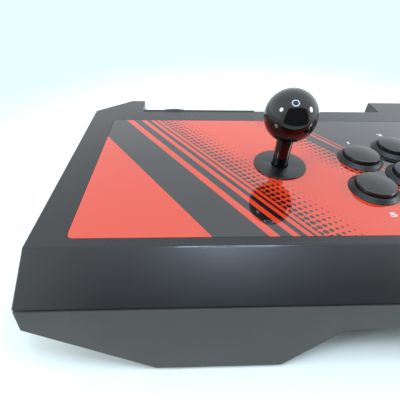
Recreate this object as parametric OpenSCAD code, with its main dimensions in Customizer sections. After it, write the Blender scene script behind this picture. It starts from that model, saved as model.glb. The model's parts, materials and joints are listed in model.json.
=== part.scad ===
// Arcade fight stick: a wide two-part case with a ball-top lever, eight round buttons,
// a small control strip on the right rear ear and a cable bay behind a rear door.
// Origin: centre of the footprint on the table. +X right, +Y to the rear, +Z up. Millimetres.

/* [Case] */
// Width of the case
case_w = 430; // [420:1:460]
// Depth from the foot of the front face to the rear ears
case_d = 230; // [226:1:244]
// Height of the top face above the table
case_h = 70; // [68:0.5:78]
// Wall of both shells
wall = 3; // [2.6:0.1:3.4]
// Height of the case's underside above the table
foot_gap = 2; // [1.6:0.1:3]
// Run of the sloping front edge, seen from above
bevel_run = 26.5; // [20:0.5:30]
// Drop of the sloping front edge
bevel_drop = 15.8; // [13:0.2:17]
// How far the front face leans out on its way down
face_lean = 8.8; // [6:0.2:11]
// Height of the groove between the two shells
groove_h = 1.8; // [1:0.1:2.6]
// Depth of that groove
groove_in = 1.6; // [1:0.1:2]
// Height at which the sides turn inwards
side_break = 38.8; // [34:0.2:42]
// How far the sides have turned in at the bottom
side_turn = 68; // [60:1:72]

/* [Rear ears] */
// Width of the left ear
left_ear_w = 43.8; // [40:0.2:48]
// Width of the right ear
right_ear_w = 152.9; // [146:0.1:158]
// Depth of the notch between the ears
notch_d = 23; // [20:0.5:24]
// Corner cut of an ear, across
ear_cut_w = 30.8; // [24:0.2:34]
// Corner cut of an ear, front to rear
ear_cut_d = 24.8; // [18:0.2:28]

/* [Front recess] */
// Height of the recess above the table
arch_h = 33.2; // [28:0.2:38]
// Half its width at the top
arch_half = 41; // [34:0.5:50]
// How much wider each side is at the bottom
arch_spread = 31.5; // [24:0.5:36]
// Depth of the recess at the bottom
arch_in = 24; // [18:0.5:24.5]

/* [Panel] */
// Shell at each side of the printed panel
panel_side = 20.8; // [19:0.2:25]
// Shell between the panel and the notch
panel_rear = 21.5; // [20:0.1:24]
// Shell between the sloping edge and the panel
panel_border = 6.3; // [5:0.1:8]
// Corner radius of the panel
panel_r = 3.5; // [2:0.5:6]
// Thickness of the steel plate
plate_t = 1.6; // [1.2:0.1:2]
// Thickness of the printed cover on it
overlay_t = 1; // [0.6:0.1:1.4]
// Width of the ledge that carries the panel
ledge_w = 9; // [8:0.5:10]
// Thickness of that ledge
ledge_t = 2.5; // [2:0.1:3]
// Gap around the panel in its pocket
panel_gap = 0.2; // [0.1:0.05:0.4]

/* [Lever] */
// Lever axis to the left of the middle
lever_x = -60.3; // [-70:0.1:-56]
// Lever axis behind the middle
lever_y = -2; // [-8:0.5:4]
// Ball diameter
ball_d = 35; // [30:0.5:38]
// Ball centre above the panel
ball_up = 38.3; // [34:0.1:44]
// Shaft diameter
shaft_d = 8; // [7:0.5:9]
// Diameter of the tube on the shaft
cover_d = 11.3; // [10.5:0.1:12]
// Diameter of the dust washer
washer_d = 38; // [34:0.5:42]
// Thickness of the dust washers
washer_t = 1; // [0.8:0.1:1.2]
// Diameter of the hole in the panel
shaft_hole_d = 24; // [22:0.5:26]
// Pivot below the panel's top
pivot_down = 22; // [20:0.5:23]
// Tilt to each side, in degrees
lever_tilt = 8; // [5:0.5:9]
// Diameter of the pivot ball
pivot_d = 18; // [17:0.2:19]
// Clearance between the pivot ball and its seat
pivot_gap = 0.3; // [0.2:0.05:0.4]

/* [Lever box] */
// Width of the lever box
box_w = 60; // [58:0.5:64]
// Wall of the lever box
box_wall = 2.5; // [2:0.1:3]
// Thickness of the mounting plate
mount_t = 1.6; // [1.2:0.1:2]
// Width of the mounting plate
mount_w = 62; // [60:0.5:64]
// Length of the mounting plate
mount_l = 96; // [92:1:100]
// Height of the gate's lower face above the table
gate_z = 15.6; // [14:0.1:17]
// Thickness of the gate
gate_t = 3.4; // [3:0.1:4]
// Thickness of every circuit board
board_t = 1.6; // [1.2:0.1:2]

/* [Buttons] */
// Diameter of a button's rim
rim_d = 33.4; // [32:0.1:34]
// Height of the rim above the panel
rim_h = 2.8; // [2:0.1:3.2]
// Diameter of the hole in the panel
button_hole_d = 30; // [29.6:0.1:30.4]
// Diameter of the plunger
plunger_d = 25.6; // [24.6:0.1:25.8]
// Height of the plunger's crown above the panel
plunger_up = 6.2; // [5.4:0.1:7]
// Height of the plunger's side above the panel
plunger_side = 4.7; // [4:0.1:5]
// Travel of a button
button_travel = 2.5; // [1.5:0.1:3]
// Depth of the button body below the panel
button_deep = 24; // [22:0.5:26]
// Wall of the button body
button_wall = 1.5; // [1.2:0.1:1.6]
// First button to the right of the lever
first_x = 64.2; // [60:0.1:70]
// First button behind the lever
first_y = 7.6; // [0:0.1:12]
// Step across to the second button
second_x = 33.8; // [33.5:0.1:37]
// Step back to the second button
second_y = 13.9; // [8:0.1:16]
// Step across between the other buttons
step_x = 36; // [34.5:0.1:37]
// Step forward to the fourth button
fourth_y = 9; // [4:0.1:14]
// Lower row to the left of the upper one
row_x = 7; // [2:0.1:12]
// Lower row in front of the upper one
row_y = 37.3; // [35:0.1:40]

/* [Control strip] */
// Strip's centre from the case's right side
strip_side = 74; // [71:0.5:79]
// Strip's centre from the case's rear
strip_rear = 23.5; // [22:0.5:25]
// Width of the strip
strip_w = 82; // [80:0.5:86]
// Depth of the strip
strip_d = 26; // [25.5:0.5:28]
// Height of the strip above the case
strip_up = 0.4; // [0.2:0.1:0.8]
// Depth of its pocket
strip_in = 1.8; // [1.4:0.1:2]
// Width of the edge that it rests on
strip_edge = 2.5; // [2:0.1:3]
// Diameter of the home button
home_d = 11; // [9:0.5:12]
// Diameter of the turbo button
turbo_d = 7; // [6:0.2:8]
// Width of an option button
option_w = 8; // [7:0.2:9]
// Depth of an option button
option_d = 4; // [3.4:0.2:4.6]
// Width of the touch pad
pad_w = 29; // [26:0.5:29.5]
// Depth of the touch pad
pad_d = 17.6; // [15:0.2:18]
// Height of a small button above the strip
key_up = 0.8; // [0.6:0.1:1.2]
// Travel of a small button
key_travel = 0.5; // [0.3:0.05:0.6]
// Travel of a slide switch
slide_travel = 3; // [2:0.2:3.4]

/* [Cable bay] */
// Left edge of the door, from the notch's side
door_gap = 0.5; // [0.3:0.1:0.8]
// Width of the door
door_w = 107.6; // [100:0.2:112]
// Height of the door above the top face
door_up = 1; // [0.6:0.1:1.4]
// Radius of the door's hinge barrel
barrel_r = 2.7; // [2.5:0.1:3]
// Height of the hinge above the table
hinge_z = 21; // [21:0.5:24]
// Width of the finger tab
tab_w = 17; // [14:0.5:20]
// Finger tab from the door's left edge
tab_x = 28.7; // [20:0.1:40]
// Depth of the bay
bay_d = 42; // [38:0.5:44]
// Room between the bay and the panel's ledge
bay_room = 6.7; // [6:0.1:10]
// Wall of the bay
bay_wall = 2; // [1.6:0.1:2.4]

/* [Fasteners and feet] */
// Diameter of a case screw
screw_d = 3.2; // [3:0.1:3.6]
// Diameter of a case screw's head
head_d = 6.4; // [6:0.1:7]
// Diameter of a foot
foot_d = 18; // [16:0.5:20]
// Depth of a foot's seat
foot_seat = 1; // [0.8:0.1:1.4]
// Thickness of the bottom plate
bottom_t = 1.2; // [1:0.1:1.6]

/* [Hidden] */
$fn = 64;
over = 1;
slip = 0.05;
clear = 0.3;

// Places of the case
z_base = foot_gap;
z_floor = z_base + wall;
z_seam = case_h - bevel_drop;
z_groove = z_seam - groove_h;
z_skin = case_h - wall;
y_foot = -case_d / 2;
y_seam = y_foot + face_lean;
y_top = y_seam + bevel_run;
y_ear = case_d / 2;
y_notch = y_ear - notch_d;
x_side = case_w / 2;
x_notch_l = -x_side + left_ear_w;
x_notch_r = x_side - right_ear_w;
bevel_angle = atan(bevel_drop / bevel_run);
face_slope = face_lean / (z_seam - z_base);
bevel_slope = bevel_run / bevel_drop;
cut_l = sqrt(ear_cut_w * ear_cut_w + ear_cut_d * ear_cut_d);
side_drop = side_break - z_base;
side_l = sqrt(side_turn * side_turn + side_drop * side_drop);
arch_rise = arch_h - z_base;
arch_l = sqrt(arch_spread * arch_spread + arch_rise * arch_rise);
y_arch = y_foot + arch_in;

// Places of the panel
panel_y0 = y_top + panel_border;
panel_y1 = y_notch - panel_rear;
panel_w = case_w - 2 * panel_side;
panel_d = panel_y1 - panel_y0;
panel_cy = panel_y0 + panel_d / 2;
z_steel = case_h - overlay_t;
z_plate = z_steel - plate_t;
z_ledge = z_plate - ledge_t;
frame_t = 2.5;
pocket_w = panel_w + 2 * panel_gap;
pocket_d = panel_d + 2 * panel_gap;
panel_screw_d = 3;
panel_screw_bite = 1.2;
panel_screw_head = 1.8;
panel_screw_side_share = 0.34;
panel_screw_front_share = 0.17;
panel_screw_spots = concat(
    [for (x = [-1, 1], y = [-1, 1])
        [x * (panel_w - ledge_w) / 2, panel_cy + y * panel_d * panel_screw_side_share]],
    [for (x = [-1, 1], y = [-1, 1])
        [x * panel_w * panel_screw_front_share, panel_cy + y * (panel_d - ledge_w) / 2]]
);

// Places of the lever, from the pivot down and up
z_pivot = case_h - pivot_down;
z_ball = case_h + ball_up;
z_mount = z_plate - mount_t;
z_board = gate_z + gate_t;
z_box = z_board + board_t;
shaft_r = shaft_d / 2;
cover_r = cover_d / 2;
pivot_r = pivot_d / 2;
hole_r = shaft_hole_d / 2;
throw = tan(lever_tilt);
corner_throw = throw * sqrt(2);
roof_t = 3;
cup_top = 5;
cup_deep = 6;
pivot_flat = 4.3;
neck_r = 6;
neck_h = 9.8;
seat_t = 1.2;
flange_r = 9;
flange_t = 2;
spring_h = 7.8;
spring_r = 7.4;
spring_wire = 0.7;
z_flange = z_pivot - cup_deep - seat_t - spring_h - flange_t;
sleeve_r = 6.5;
sleeve_lift = 1.4;
tip_r = 5.5;
tip_down = 3.2;
z_sleeve = z_box + sleeve_lift;
z_clip = gate_z - tip_down;
clip_t = 1;
clip_r = 6.5;
groove_r = 3.2;
shaft_end = 1.5;
ball_flat = sqrt(ball_d * ball_d / 4 - cover_r * cover_r);
thread_r = 3;
thread_l = 13;
washer_gap = 0.45;
washer_hole = cover_r + washer_gap;
lower_washer_r = 17;
lower_washer_hole = 9;
well_gap = 2;
well_r = lower_washer_r + (z_mount - z_pivot + washer_t) * throw + well_gap;
gate_gap = 0.35;
gate_half = tip_r / cos(lever_tilt) + (z_pivot - gate_z) * throw + gate_gap;
post_w = 7;
post_sunk = 1;
post_c = box_w / 2 - box_wall - post_w / 2 + post_sunk;
lever_screw_r = 1.5;
lever_screw_bite = 11;
lever_screw_head_r = 2.8;
lever_screw_head = 2;
mount_screw_r = 2;
mount_screw_head_r = 3.5;
mount_screw_head = 2.4;
mount_screw_x = 20;
mount_screw_y = 42;
lever_switch_w = 20;
lever_switch_d = 10;
lever_switch_h = 6.4;
lever_switch_tip = 2.2;
lever_switch_r = sleeve_r / cos(lever_tilt) + (z_pivot - z_sleeve) * throw + clear + lever_switch_tip;
board_hole_r = 13;
header_w = 14;
header_d = 5;
header_h = 7;

// Places of the buttons
plunger_gap = 0.35;
bore_r = plunger_d / 2 + plunger_gap;
body_r = bore_r + button_wall;
stem_r = 2.2;
stem_hole_r = stem_r + clear;
button_floor = 2;
hub_r = 5;
hub_deep = 10;
skirt_deep = 11;
crown_t = 2;
stem_over = 0.6;
cheek_t = 1.2;
switch_w = 12.8;
switch_d = 5.8;
switch_h = 6.5;
switch_room = 1;
switch_gap = button_travel + switch_room;
blade_w = 4;
blade_t = 0.8;
blade_h = 4;
blade_step = 4;
button_spring_r = 3.5;
button_wire = 0.45;
rim_edge = 0.6;
rim_land = 0.8;
upper_row = [
    [first_x, first_y],
    [first_x + second_x, first_y + second_y],
    [first_x + second_x + step_x, first_y + second_y],
    [first_x + second_x + 2 * step_x, first_y + second_y - fourth_y]
];
BUTTONS = [
    for (row = [0, 1], p = upper_row)
        [lever_x + p[0] - row * row_x, lever_y + p[1] - row * row_y]
];
z_switch = case_h - button_deep - switch_gap - switch_h;

// Places on the control strip, from its centre
strip_x = x_side - strip_side;
strip_y = y_ear - strip_rear;
bezel_z = case_h - strip_in;
bezel_top = case_h + strip_up;
key_flange_t = 1.2;
key_flange = 1;
key_gap = 0.3;
key_r = option_d / 2 - slip;
pad_x = -22.6;
option_x = -1.5;
option_y = 5.5;
home_x = 10.5;
turbo_x = 22.5;
slide_x = 33;
slide_w = 3;
lens_w = 7;
lens_d = 2.4;
control_board_down = 9;
control_board_z = z_skin - control_board_down;
control_post_r = 3;
control_post_out = 4;
control_post_in = 3;
control_post_x = strip_w / 2 + control_post_out;
control_post_y = strip_d / 2 - control_post_in;
control_board_rim = 3.5;
control_board_w = 2 * (control_post_x + control_board_rim);
control_board_d = 2 * (control_post_y + control_board_rim);
key_body_w = 6;
key_body_h = 3.6;
key_tip_r = 1.7;
key_z = bezel_z - key_flange_t;
slide_body_w = 5;
slide_body_d = 9;

// Places of the bay and its door
door_x0 = x_notch_l + door_gap;
door_x1 = door_x0 + door_w;
door_slip = 0.2;
door_t = wall - door_slip;
hinge_y = y_notch - barrel_r;
barrel_gap = 0.4;
pin_r = 1.2;
pin_l = 12;
cheek_w = 6;
sill_z = hinge_z - barrel_r - barrel_gap;
tab_h = 1;
bay_lift = 0.5;
bay_z0 = hinge_z + barrel_r + bay_lift;
bay_h = z_ledge - bay_room - bay_z0;
bay_flange = 3.4;
bay_y1 = y_notch - wall;
bay_y0 = bay_y1 - bay_d;
bay_x0 = door_x0 + bay_flange;
bay_x1 = door_x1 - bay_flange;
socket_in = 40;
socket_up = 13;
socket_x = bay_x1 - socket_in;
socket_z = bay_z0 + socket_up;
socket_w = 12;
socket_h = 11;
socket_l = 15;
socket_hole_w = 8.6;
socket_hole_h = 7.8;
socket_hole_l = 10;
socket_proud = 1;

// Places of the screws, feet and boards
z_well = 41;
z_column = z_well + wall;
column_r = 6;
well_bore = 4;
boss_r = 4.5;
boss_in = 8.5;
boss_x = x_side - wall - boss_in;
front_boss_gap = 1.9;
front_boss_y = panel_y0 - frame_t - panel_gap - front_boss_gap - boss_r;
rear_boss_gap = 3.5;
rear_boss_y = y_notch - wall - rear_boss_gap - boss_r;
side_boss_front = 11.4;
side_boss_rear = 14.5;
case_boss_front = panel_y0 + side_boss_front;
case_boss_rear = panel_y1 - side_boss_rear;
rear_boss_side = 38.1;
rear_boss_x = door_x1 + rear_boss_side;
CASE_SCREWS = [
    [-boss_x, case_boss_front], [boss_x, case_boss_front], [-boss_x, case_boss_rear], [boss_x, case_boss_rear],
    [0, front_boss_y], [rear_boss_x, rear_boss_y]
];
case_screw_l = 17;
case_head_h = 2.4;
bottom_side = 11;
bottom_front = 39;
bottom_rear = 26;
bottom_w = 2 * (x_side - side_turn - bottom_side);
bottom_y1 = y_notch - bottom_rear;
bottom_y0 = y_foot + bottom_front;
bottom_ledge = 7;
plate_screw_r = 1.5;
plate_head_r = 3;
plate_head_h = 1.2;
plate_boss_r = 3.4;
plate_boss_h = 4;
plate_screw_side = 44;
bottom_cy = (bottom_y0 + bottom_y1) / 2;
PLATE_SCREWS = concat(
    [for (x = [-1, 1], y = [-1, 1]) [x * (bottom_w - bottom_ledge) / 2, bottom_cy + y * plate_screw_side]],
    [for (y = [-1, 1]) [0, bottom_cy + y * (bottom_y1 - bottom_y0 - bottom_ledge) / 2]]
);
foot_rim = 4;
foot_front_x = (arch_half + arch_spread + x_side - side_turn) / 2;
foot_front_y = y_foot + foot_rim + foot_d / 2;
foot_rear_in = 22;
foot_rear_x = x_side - side_turn - foot_rear_in;
foot_rear_y = y_notch - foot_rim - foot_d / 2;
FEET = [
    [-foot_front_x, foot_front_y], [foot_front_x, foot_front_y],
    [-foot_rear_x, foot_rear_y], [foot_rear_x, foot_rear_y]
];
main_w = 74;
main_gap = 0.9;
main_x = x_notch_r + wall + main_gap + main_w / 2;
main_d = 36;
main_rear = 9;
main_y = y_ear - main_rear - main_d / 2;
main_up = 6;
main_z = z_floor + main_up;
main_post_r = 3.2;
main_post_in = 4;
plug_w = 8;
plug_h = 6;
chip_w = 14;
chip_gap = 2;
chip_h = 1.2;
board_screw_r = 1.3;
board_head_r = 2.4;
board_head_h = 1.4;
board_screw_l = 5;
wire_r = 2.2;
main_x0 = main_x - main_w / 2;
main_x1 = main_x + main_w / 2;
main_y0 = main_y - main_d / 2;
main_top = main_z + board_t;
plug_in = 2;
plug_z = main_top + plug_h / 2;
lead_y = main_y0 + 2 * plug_in + plug_w;
lever_plug_x = main_x0 + 2 * plug_w;
button_plug_x = main_x + plug_w;
control_wire_in = 12;
control_wire_back = 3;
control_wire_x = strip_x - control_wire_in;
control_wire_y = main_y + control_wire_back;
lead_stub = 5;
lever_stub = 7;
plug_stub = 8;
switch_stub = 4;
board_stub = 6;
lead_route = [[-104, 22, 26], [-94, 33, 12], [-62, 36, 9], [-20, 36, 10], [20, 48, 10], [46, 72, 13]];
lever_route = [[0, 10, 11], [40, 22, 11], [70, 40, 13]];
button_turn = [12, 16, -4];
control_bow = [5, -2, 18];
MAIN_POSTS = [
    for (x = [-1, 1], y = [-1, 1])
        [main_x + x * (main_w / 2 - main_post_in), main_y + y * (main_d / 2 - main_post_in)]
];
CONTROL_POSTS = [
    for (x = [-1, 1], y = [-1, 1]) [strip_x + x * control_post_x, strip_y + y * control_post_y]
];

// Front line of the case at a height, set in by t
function face_y(z, t) = y_seam - (z_seam - z) * face_slope + t * sqrt(1 + face_slope * face_slope);
function bevel_y(z, t) = y_seam + (z - z_seam) * bevel_slope + t / sin(bevel_angle);
function corner_z(t) =
    z_seam + t * (sqrt(1 + face_slope * face_slope) - 1 / sin(bevel_angle)) / (bevel_slope - face_slope);
function side_profile(t) = [
    [face_y(-over, t), -over],
    [face_y(corner_z(t), t), corner_z(t)],
    [bevel_y(case_h + over, t), case_h + over],
    [case_d, case_h + over],
    [case_d, -over]
];
// Front view of the case, set in by t
function turn_z(t) = side_break + t * (side_l - side_drop) / side_turn;
function turn_x(z, t) = x_side - t - (turn_z(t) - z) * side_turn / side_drop;
function front_profile(t) = [
    [-(x_side - t), case_h + over],
    [-(x_side - t), turn_z(t)],
    [-turn_x(-over, t), -over],
    [turn_x(-over, t), -over],
    [x_side - t, turn_z(t)],
    [x_side - t, case_h + over]
];
// Plan of the case, set in by t
function plan(t) = [
    [-(x_side - t), -case_d],
    [x_side - t, -case_d],
    [x_side - t, y_ear - ear_cut_d - t * (cut_l - ear_cut_d) / ear_cut_w],
    [x_side - ear_cut_w - t * (cut_l - ear_cut_w) / ear_cut_d, y_ear - t],
    [x_notch_r + t, y_ear - t],
    [x_notch_r + t, y_notch - t],
    [x_notch_l - t, y_notch - t],
    [x_notch_l - t, y_ear - t],
    [-x_side + ear_cut_w + t * (cut_l - ear_cut_w) / ear_cut_d, y_ear - t],
    [-(x_side - t), y_ear - ear_cut_d - t * (cut_l - ear_cut_d) / ear_cut_w]
];
function arch_points(t) = [
    [-(arch_half + arch_spread + t * arch_l / arch_rise + over * arch_spread / arch_rise), z_base - over],
    [-(arch_half + t * (arch_l - arch_spread) / arch_rise), arch_h + t],
    [arch_half + t * (arch_l - arch_spread) / arch_rise, arch_h + t],
    [arch_half + arch_spread + t * arch_l / arch_rise + over * arch_spread / arch_rise, z_base - over]
];

module prism_x(points, x0, x1) {
    translate([x0, 0, 0]) rotate([90, 0, 90]) linear_extrude(x1 - x0) polygon(points);
}

module prism_y(points, y0, y1) {
    translate([0, y1, 0]) rotate([90, 0, 0]) linear_extrude(y1 - y0) polygon(points);
}

// The case's outline between two heights, set in by t on every side wall
module case_block(t, z0, z1) {
    intersection() {
        translate([0, 0, z0]) linear_extrude(z1 - z0) polygon(plan(t));
        prism_x(side_profile(t), -case_w, case_w);
        prism_y(front_profile(t), -case_d, case_d);
    }
}

// A block between two corners
module block(a, b) {
    translate(a) cube(b - a);
}

// An upright round bar or hole from z0 to z1
module bar(spot, r, z0, z1) {
    translate([spot[0], spot[1], z0]) cylinder(r = r, h = z1 - z0);
}

// A plate with rounded corners, centred on a spot
module round_plate(spot, w, d, r, z0, z1) {
    translate([spot[0], spot[1], z0]) linear_extrude(z1 - z0) {
        square([w - 2 * r, d], center = true);
        square([w, d - 2 * r], center = true);
        for (x = [-1, 1], y = [-1, 1]) translate([x * (w / 2 - r), y * (d / 2 - r)]) circle(r);
    }
}

module at_lever() {
    translate([lever_x, lever_y, 0]) children();
}

// Tube along a route: one ring of points square to the route at each of its points
function unit(v) = v / norm(v);
function heading(p, i) = unit(p[min(i + 1, len(p) - 1)] - p[max(i - 1, 0)]);
function ring(c, d, r, n) =
    let (side = unit(cross(d, abs(d[2]) > 0.9 ? [0, 1, 0] : [0, 0, 1])), up = cross(side, d))
    [for (k = [0:n - 1]) c + r * (cos(k * 360 / n) * side + sin(k * 360 / n) * up)];
module tube(p, r, n) {
    m = len(p);
    points = [for (i = [0:m - 1]) each ring(p[i], heading(p, i), r, n)];
    skin = [
        for (i = [0:m - 2], k = [0:n - 1])
            let (a = i * n + k, b = i * n + (k + 1) % n) each [[a, b, b + n], [a, b + n, a + n]]
    ];
    ends = concat(
        [for (k = [1:n - 2]) [0, k + 1, k]],
        [for (k = [1:n - 2]) let (z = (m - 1) * n) [z, z + k, z + k + 1]]
    );
    polyhedron(points = points, faces = concat(skin, ends));
}
// Smooth curve through a few chosen points
function spline(p, steps) = concat(
    [for (i = [0:len(p) - 2], s = [0:steps - 1])
        let (
            a = p[max(i - 1, 0)], b = p[i], c = p[i + 1], d = p[min(i + 2, len(p) - 1)], u = s / steps,
            m0 = i == 0 ? c - b : (c - a) / 2, m1 = i == len(p) - 2 ? c - b : (d - b) / 2
        )
        (2 * u * u * u - 3 * u * u + 1) * b + (u * u * u - 2 * u * u + u) * m0
            + (3 * u * u - 2 * u * u * u) * c + (u * u * u - u * u) * m1],
    [p[len(p) - 1]]
);
// Wire that leaves both its ends square to what they meet
function wire(start, out, middle, end, into) =
    concat([start], spline(concat([start + out], middle, [end - into]), 4), [end]);

// Upright coil spring of r to the wire's middle, between two seats
module coil(r, wire, z0, z1, turns, steps, sides) {
    low = z0 + wire + slip;
    high = z1 - wire - slip;
    count = turns * steps;
    tube([for (i = [0:count]) [r * cos(i * 360 / steps), r * sin(i * 360 / steps), low + (high - low) * i / count]],
        wire, sides);
}

// CASE

module top_shell() {
    color([0.16, 0.16, 0.17]) difference() {
        union() {
            difference() {
                case_block(0, z_seam, case_h);
                case_block(wall, z_seam - over, z_skin);
            }
            difference() {
                intersection() {
                    case_block(0, z_ledge, case_h);
                    round_plate([0, panel_cy], pocket_w + 2 * frame_t, pocket_d + 2 * frame_t,
                        panel_r + frame_t, z_ledge, z_skin + slip);
                }
                round_plate([0, panel_cy], panel_w - 2 * ledge_w, panel_d - 2 * ledge_w, panel_r, 0, case_h + over);
            }
            intersection() {
                case_block(wall / 2, 0, z_skin + slip);
                for (p = CASE_SCREWS) bar(p, boss_r, z_column, case_h);
            }
            for (p = CONTROL_POSTS) bar(p, control_post_r, control_board_z + board_t, z_skin + slip);
        }
        round_plate([0, panel_cy], pocket_w, pocket_d, panel_r + panel_gap, z_plate, case_h + over);
        round_plate([0, panel_cy], panel_w - 2 * ledge_w, panel_d - 2 * ledge_w, panel_r, z_ledge - over, case_h);
        for (p = panel_screw_spots) bar(p, panel_screw_d / 2 + slip, z_ledge - over, case_h);
        for (p = CASE_SCREWS) bar(p, screw_d / 2 + slip, z_column - over, z_well + case_screw_l + slip);
        for (p = CONTROL_POSTS)
            bar(p, board_screw_r + slip, 0, control_board_z + board_screw_l + slip);
        round_plate([strip_x, strip_y], strip_w + 2 * slip, strip_d + 2 * slip, panel_r + slip,
            bezel_z, case_h + over);
        round_plate([strip_x, strip_y], strip_w - 2 * strip_edge, strip_d - 2 * strip_edge, panel_r,
            z_skin - over, case_h);
        block([door_x0 - door_gap, bay_y1, z_seam - over], [door_x1 + door_gap, y_ear, case_h + over]);
    }
}

module base_shell() {
    color([0.24, 0.245, 0.25]) difference() {
        union() {
            difference() {
                case_block(0, z_base, z_groove);
                difference() {
                    case_block(wall, z_floor, case_h);
                    prism_y(arch_points(wall), -case_d, y_arch + wall);
                }
            }
            difference() {
                case_block(groove_in, z_groove - slip, z_seam);
                case_block(wall, z_base, case_h);
            }
            intersection() {
                case_block(wall / 2, z_base, z_column);
                for (p = CASE_SCREWS) bar(p, column_r, z_base, z_column);
            }
            for (p = PLATE_SCREWS) bar(p, plate_boss_r, z_floor - slip, z_floor + plate_boss_h);
            for (p = MAIN_POSTS) bar(p, main_post_r, z_floor - slip, main_z);
            intersection() {
                case_block(wall / 2, z_base, z_groove);
                for (x = [door_x0 - door_gap - cheek_w, door_x1 + door_gap])
                    block([x, bay_y1 - wall, sill_z], [x + cheek_w, y_notch - slip, bay_z0 - slip]);
            }
        }
        prism_y(arch_points(0), -case_d, y_arch);
        round_plate([0, bottom_cy], bottom_w + 2 * slip, bottom_y1 - bottom_y0 + 2 * slip, panel_r,
            z_base - over, z_base + bottom_t);
        round_plate([0, bottom_cy], bottom_w - 2 * bottom_ledge, bottom_y1 - bottom_y0 - 2 * bottom_ledge,
            panel_r, z_base, z_floor + over);
        for (p = PLATE_SCREWS) bar(p, plate_screw_r + slip, z_base, z_floor + plate_boss_h - over);
        for (p = CASE_SCREWS) {
            bar(p, well_bore, 0, z_well);
            bar(p, screw_d / 2 + slip, z_base, z_column + over);
        }
        for (p = FEET) bar(p, foot_d / 2 + slip, 0, z_base + foot_seat);
        for (p = MAIN_POSTS) bar(p, board_screw_r + slip, main_z - board_screw_l + board_t, main_z + over);
        block([door_x0 - door_gap, hinge_y - barrel_r - barrel_gap, sill_z], [door_x1 + door_gap, y_ear, case_h]);
        for (x = [door_x0, door_x1])
            translate([x - pin_l / 2, hinge_y, hinge_z]) rotate([0, 90, 0])
                cylinder(r = pin_r + slip, h = pin_l);
    }
}

module bottom_plate() {
    color([0.3, 0.3, 0.31]) difference() {
        round_plate([0, bottom_cy], bottom_w, bottom_y1 - bottom_y0, panel_r, z_base, z_base + bottom_t);
        for (p = PLATE_SCREWS) bar(p, plate_screw_r + slip, 0, z_floor);
    }
}

module rubber_feet() {
    color([0.1, 0.1, 0.1]) for (p = FEET) bar(p, foot_d / 2, 0, z_base + foot_seat);
}

// Screw with its head below and its tip up
module screw_up(spot, z, r, l, head_r, head_h) {
    bar(spot, head_r, z - head_h, z);
    bar(spot, r, z - head_h / 2, z + l);
}

module case_screws() {
    color([0.55, 0.56, 0.58]) for (p = CASE_SCREWS)
        screw_up(p, z_well, screw_d / 2, case_screw_l, head_d / 2, case_head_h);
}

module plate_screws() {
    color([0.55, 0.56, 0.58]) for (p = PLATE_SCREWS)
        screw_up(p, z_base, plate_screw_r, z_floor + plate_boss_h - over - z_base, plate_head_r, plate_head_h);
}

// PANEL

module panel_holes(z0, z1) {
    bar([lever_x, lever_y], hole_r, z0, z1);
    for (p = BUTTONS) bar(p, button_hole_d / 2, z0, z1);
}

module control_plate() {
    color([0.6, 0.61, 0.63]) difference() {
        round_plate([0, panel_cy], panel_w, panel_d, panel_r, z_plate, z_steel);
        panel_holes(0, case_h);
        for (p = panel_screw_spots) bar(p, panel_screw_d / 2 + slip, z_plate - over, z_plate + panel_screw_bite);
        at_lever() for (x = [-1, 1], y = [-1, 1])
            bar([x * mount_screw_x, y * mount_screw_y], mount_screw_r + slip,
                z_plate - over, z_plate + panel_screw_bite);
    }
}

module panel_overlay() {
    color([0.85, 0.16, 0.1]) difference() {
        round_plate([0, panel_cy], panel_w, panel_d, panel_r, z_steel, case_h);
        panel_holes(0, case_h + over);
    }
}

module panel_screws() {
    color([0.55, 0.56, 0.58]) for (p = panel_screw_spots)
        screw_up(p, z_ledge, panel_screw_d / 2, ledge_t + panel_screw_bite, panel_screw_d, panel_screw_head);
}

// CABLE BAY

module cable_bay() {
    color([0.2, 0.2, 0.21]) difference() {
        union() {
            block([bay_x0 - bay_wall, bay_y0 - bay_wall, bay_z0], [bay_x1 + bay_wall, bay_y1, bay_z0 + bay_h + bay_wall]);
            block([door_x0 - door_gap - wall, bay_y1 - bay_wall, bay_z0],
                [door_x1 + door_gap + wall, bay_y1, z_skin]);
        }
        block([bay_x0, bay_y0, bay_z0 + bay_wall], [bay_x1, bay_y1 + over, bay_z0 + bay_h]);
        block([socket_x - socket_w / 2 - slip, bay_y0 - bay_wall - over, socket_z - socket_h / 2 - slip],
            [socket_x + socket_w / 2 + slip, bay_y0 + over, socket_z + socket_h / 2 + slip]);
    }
}

module cable_door() {
    color([0.18, 0.18, 0.19]) difference() {
        union() {
            block([door_x0, y_notch - door_t, hinge_z], [door_x1, y_notch, case_h + door_up]);
            block([door_x0 + tab_x - tab_w / 2, y_notch - door_t, case_h],
                [door_x0 + tab_x + tab_w / 2, y_notch + tab_h, case_h + door_up + tab_h]);
            translate([door_x0, hinge_y, hinge_z]) rotate([0, 90, 0]) cylinder(r = barrel_r, h = door_w);
        }
        for (x = [door_x0, door_x1])
            translate([x - pin_l / 2 - slip, hinge_y, hinge_z]) rotate([0, 90, 0])
                cylinder(r = pin_r + slip, h = pin_l + 2 * slip);
    }
}

module door_pins() {
    color([0.7, 0.71, 0.73]) for (x = [door_x0, door_x1])
        translate([x - pin_l / 2, hinge_y, hinge_z]) rotate([0, 90, 0]) cylinder(r = pin_r, h = pin_l);
}

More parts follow.
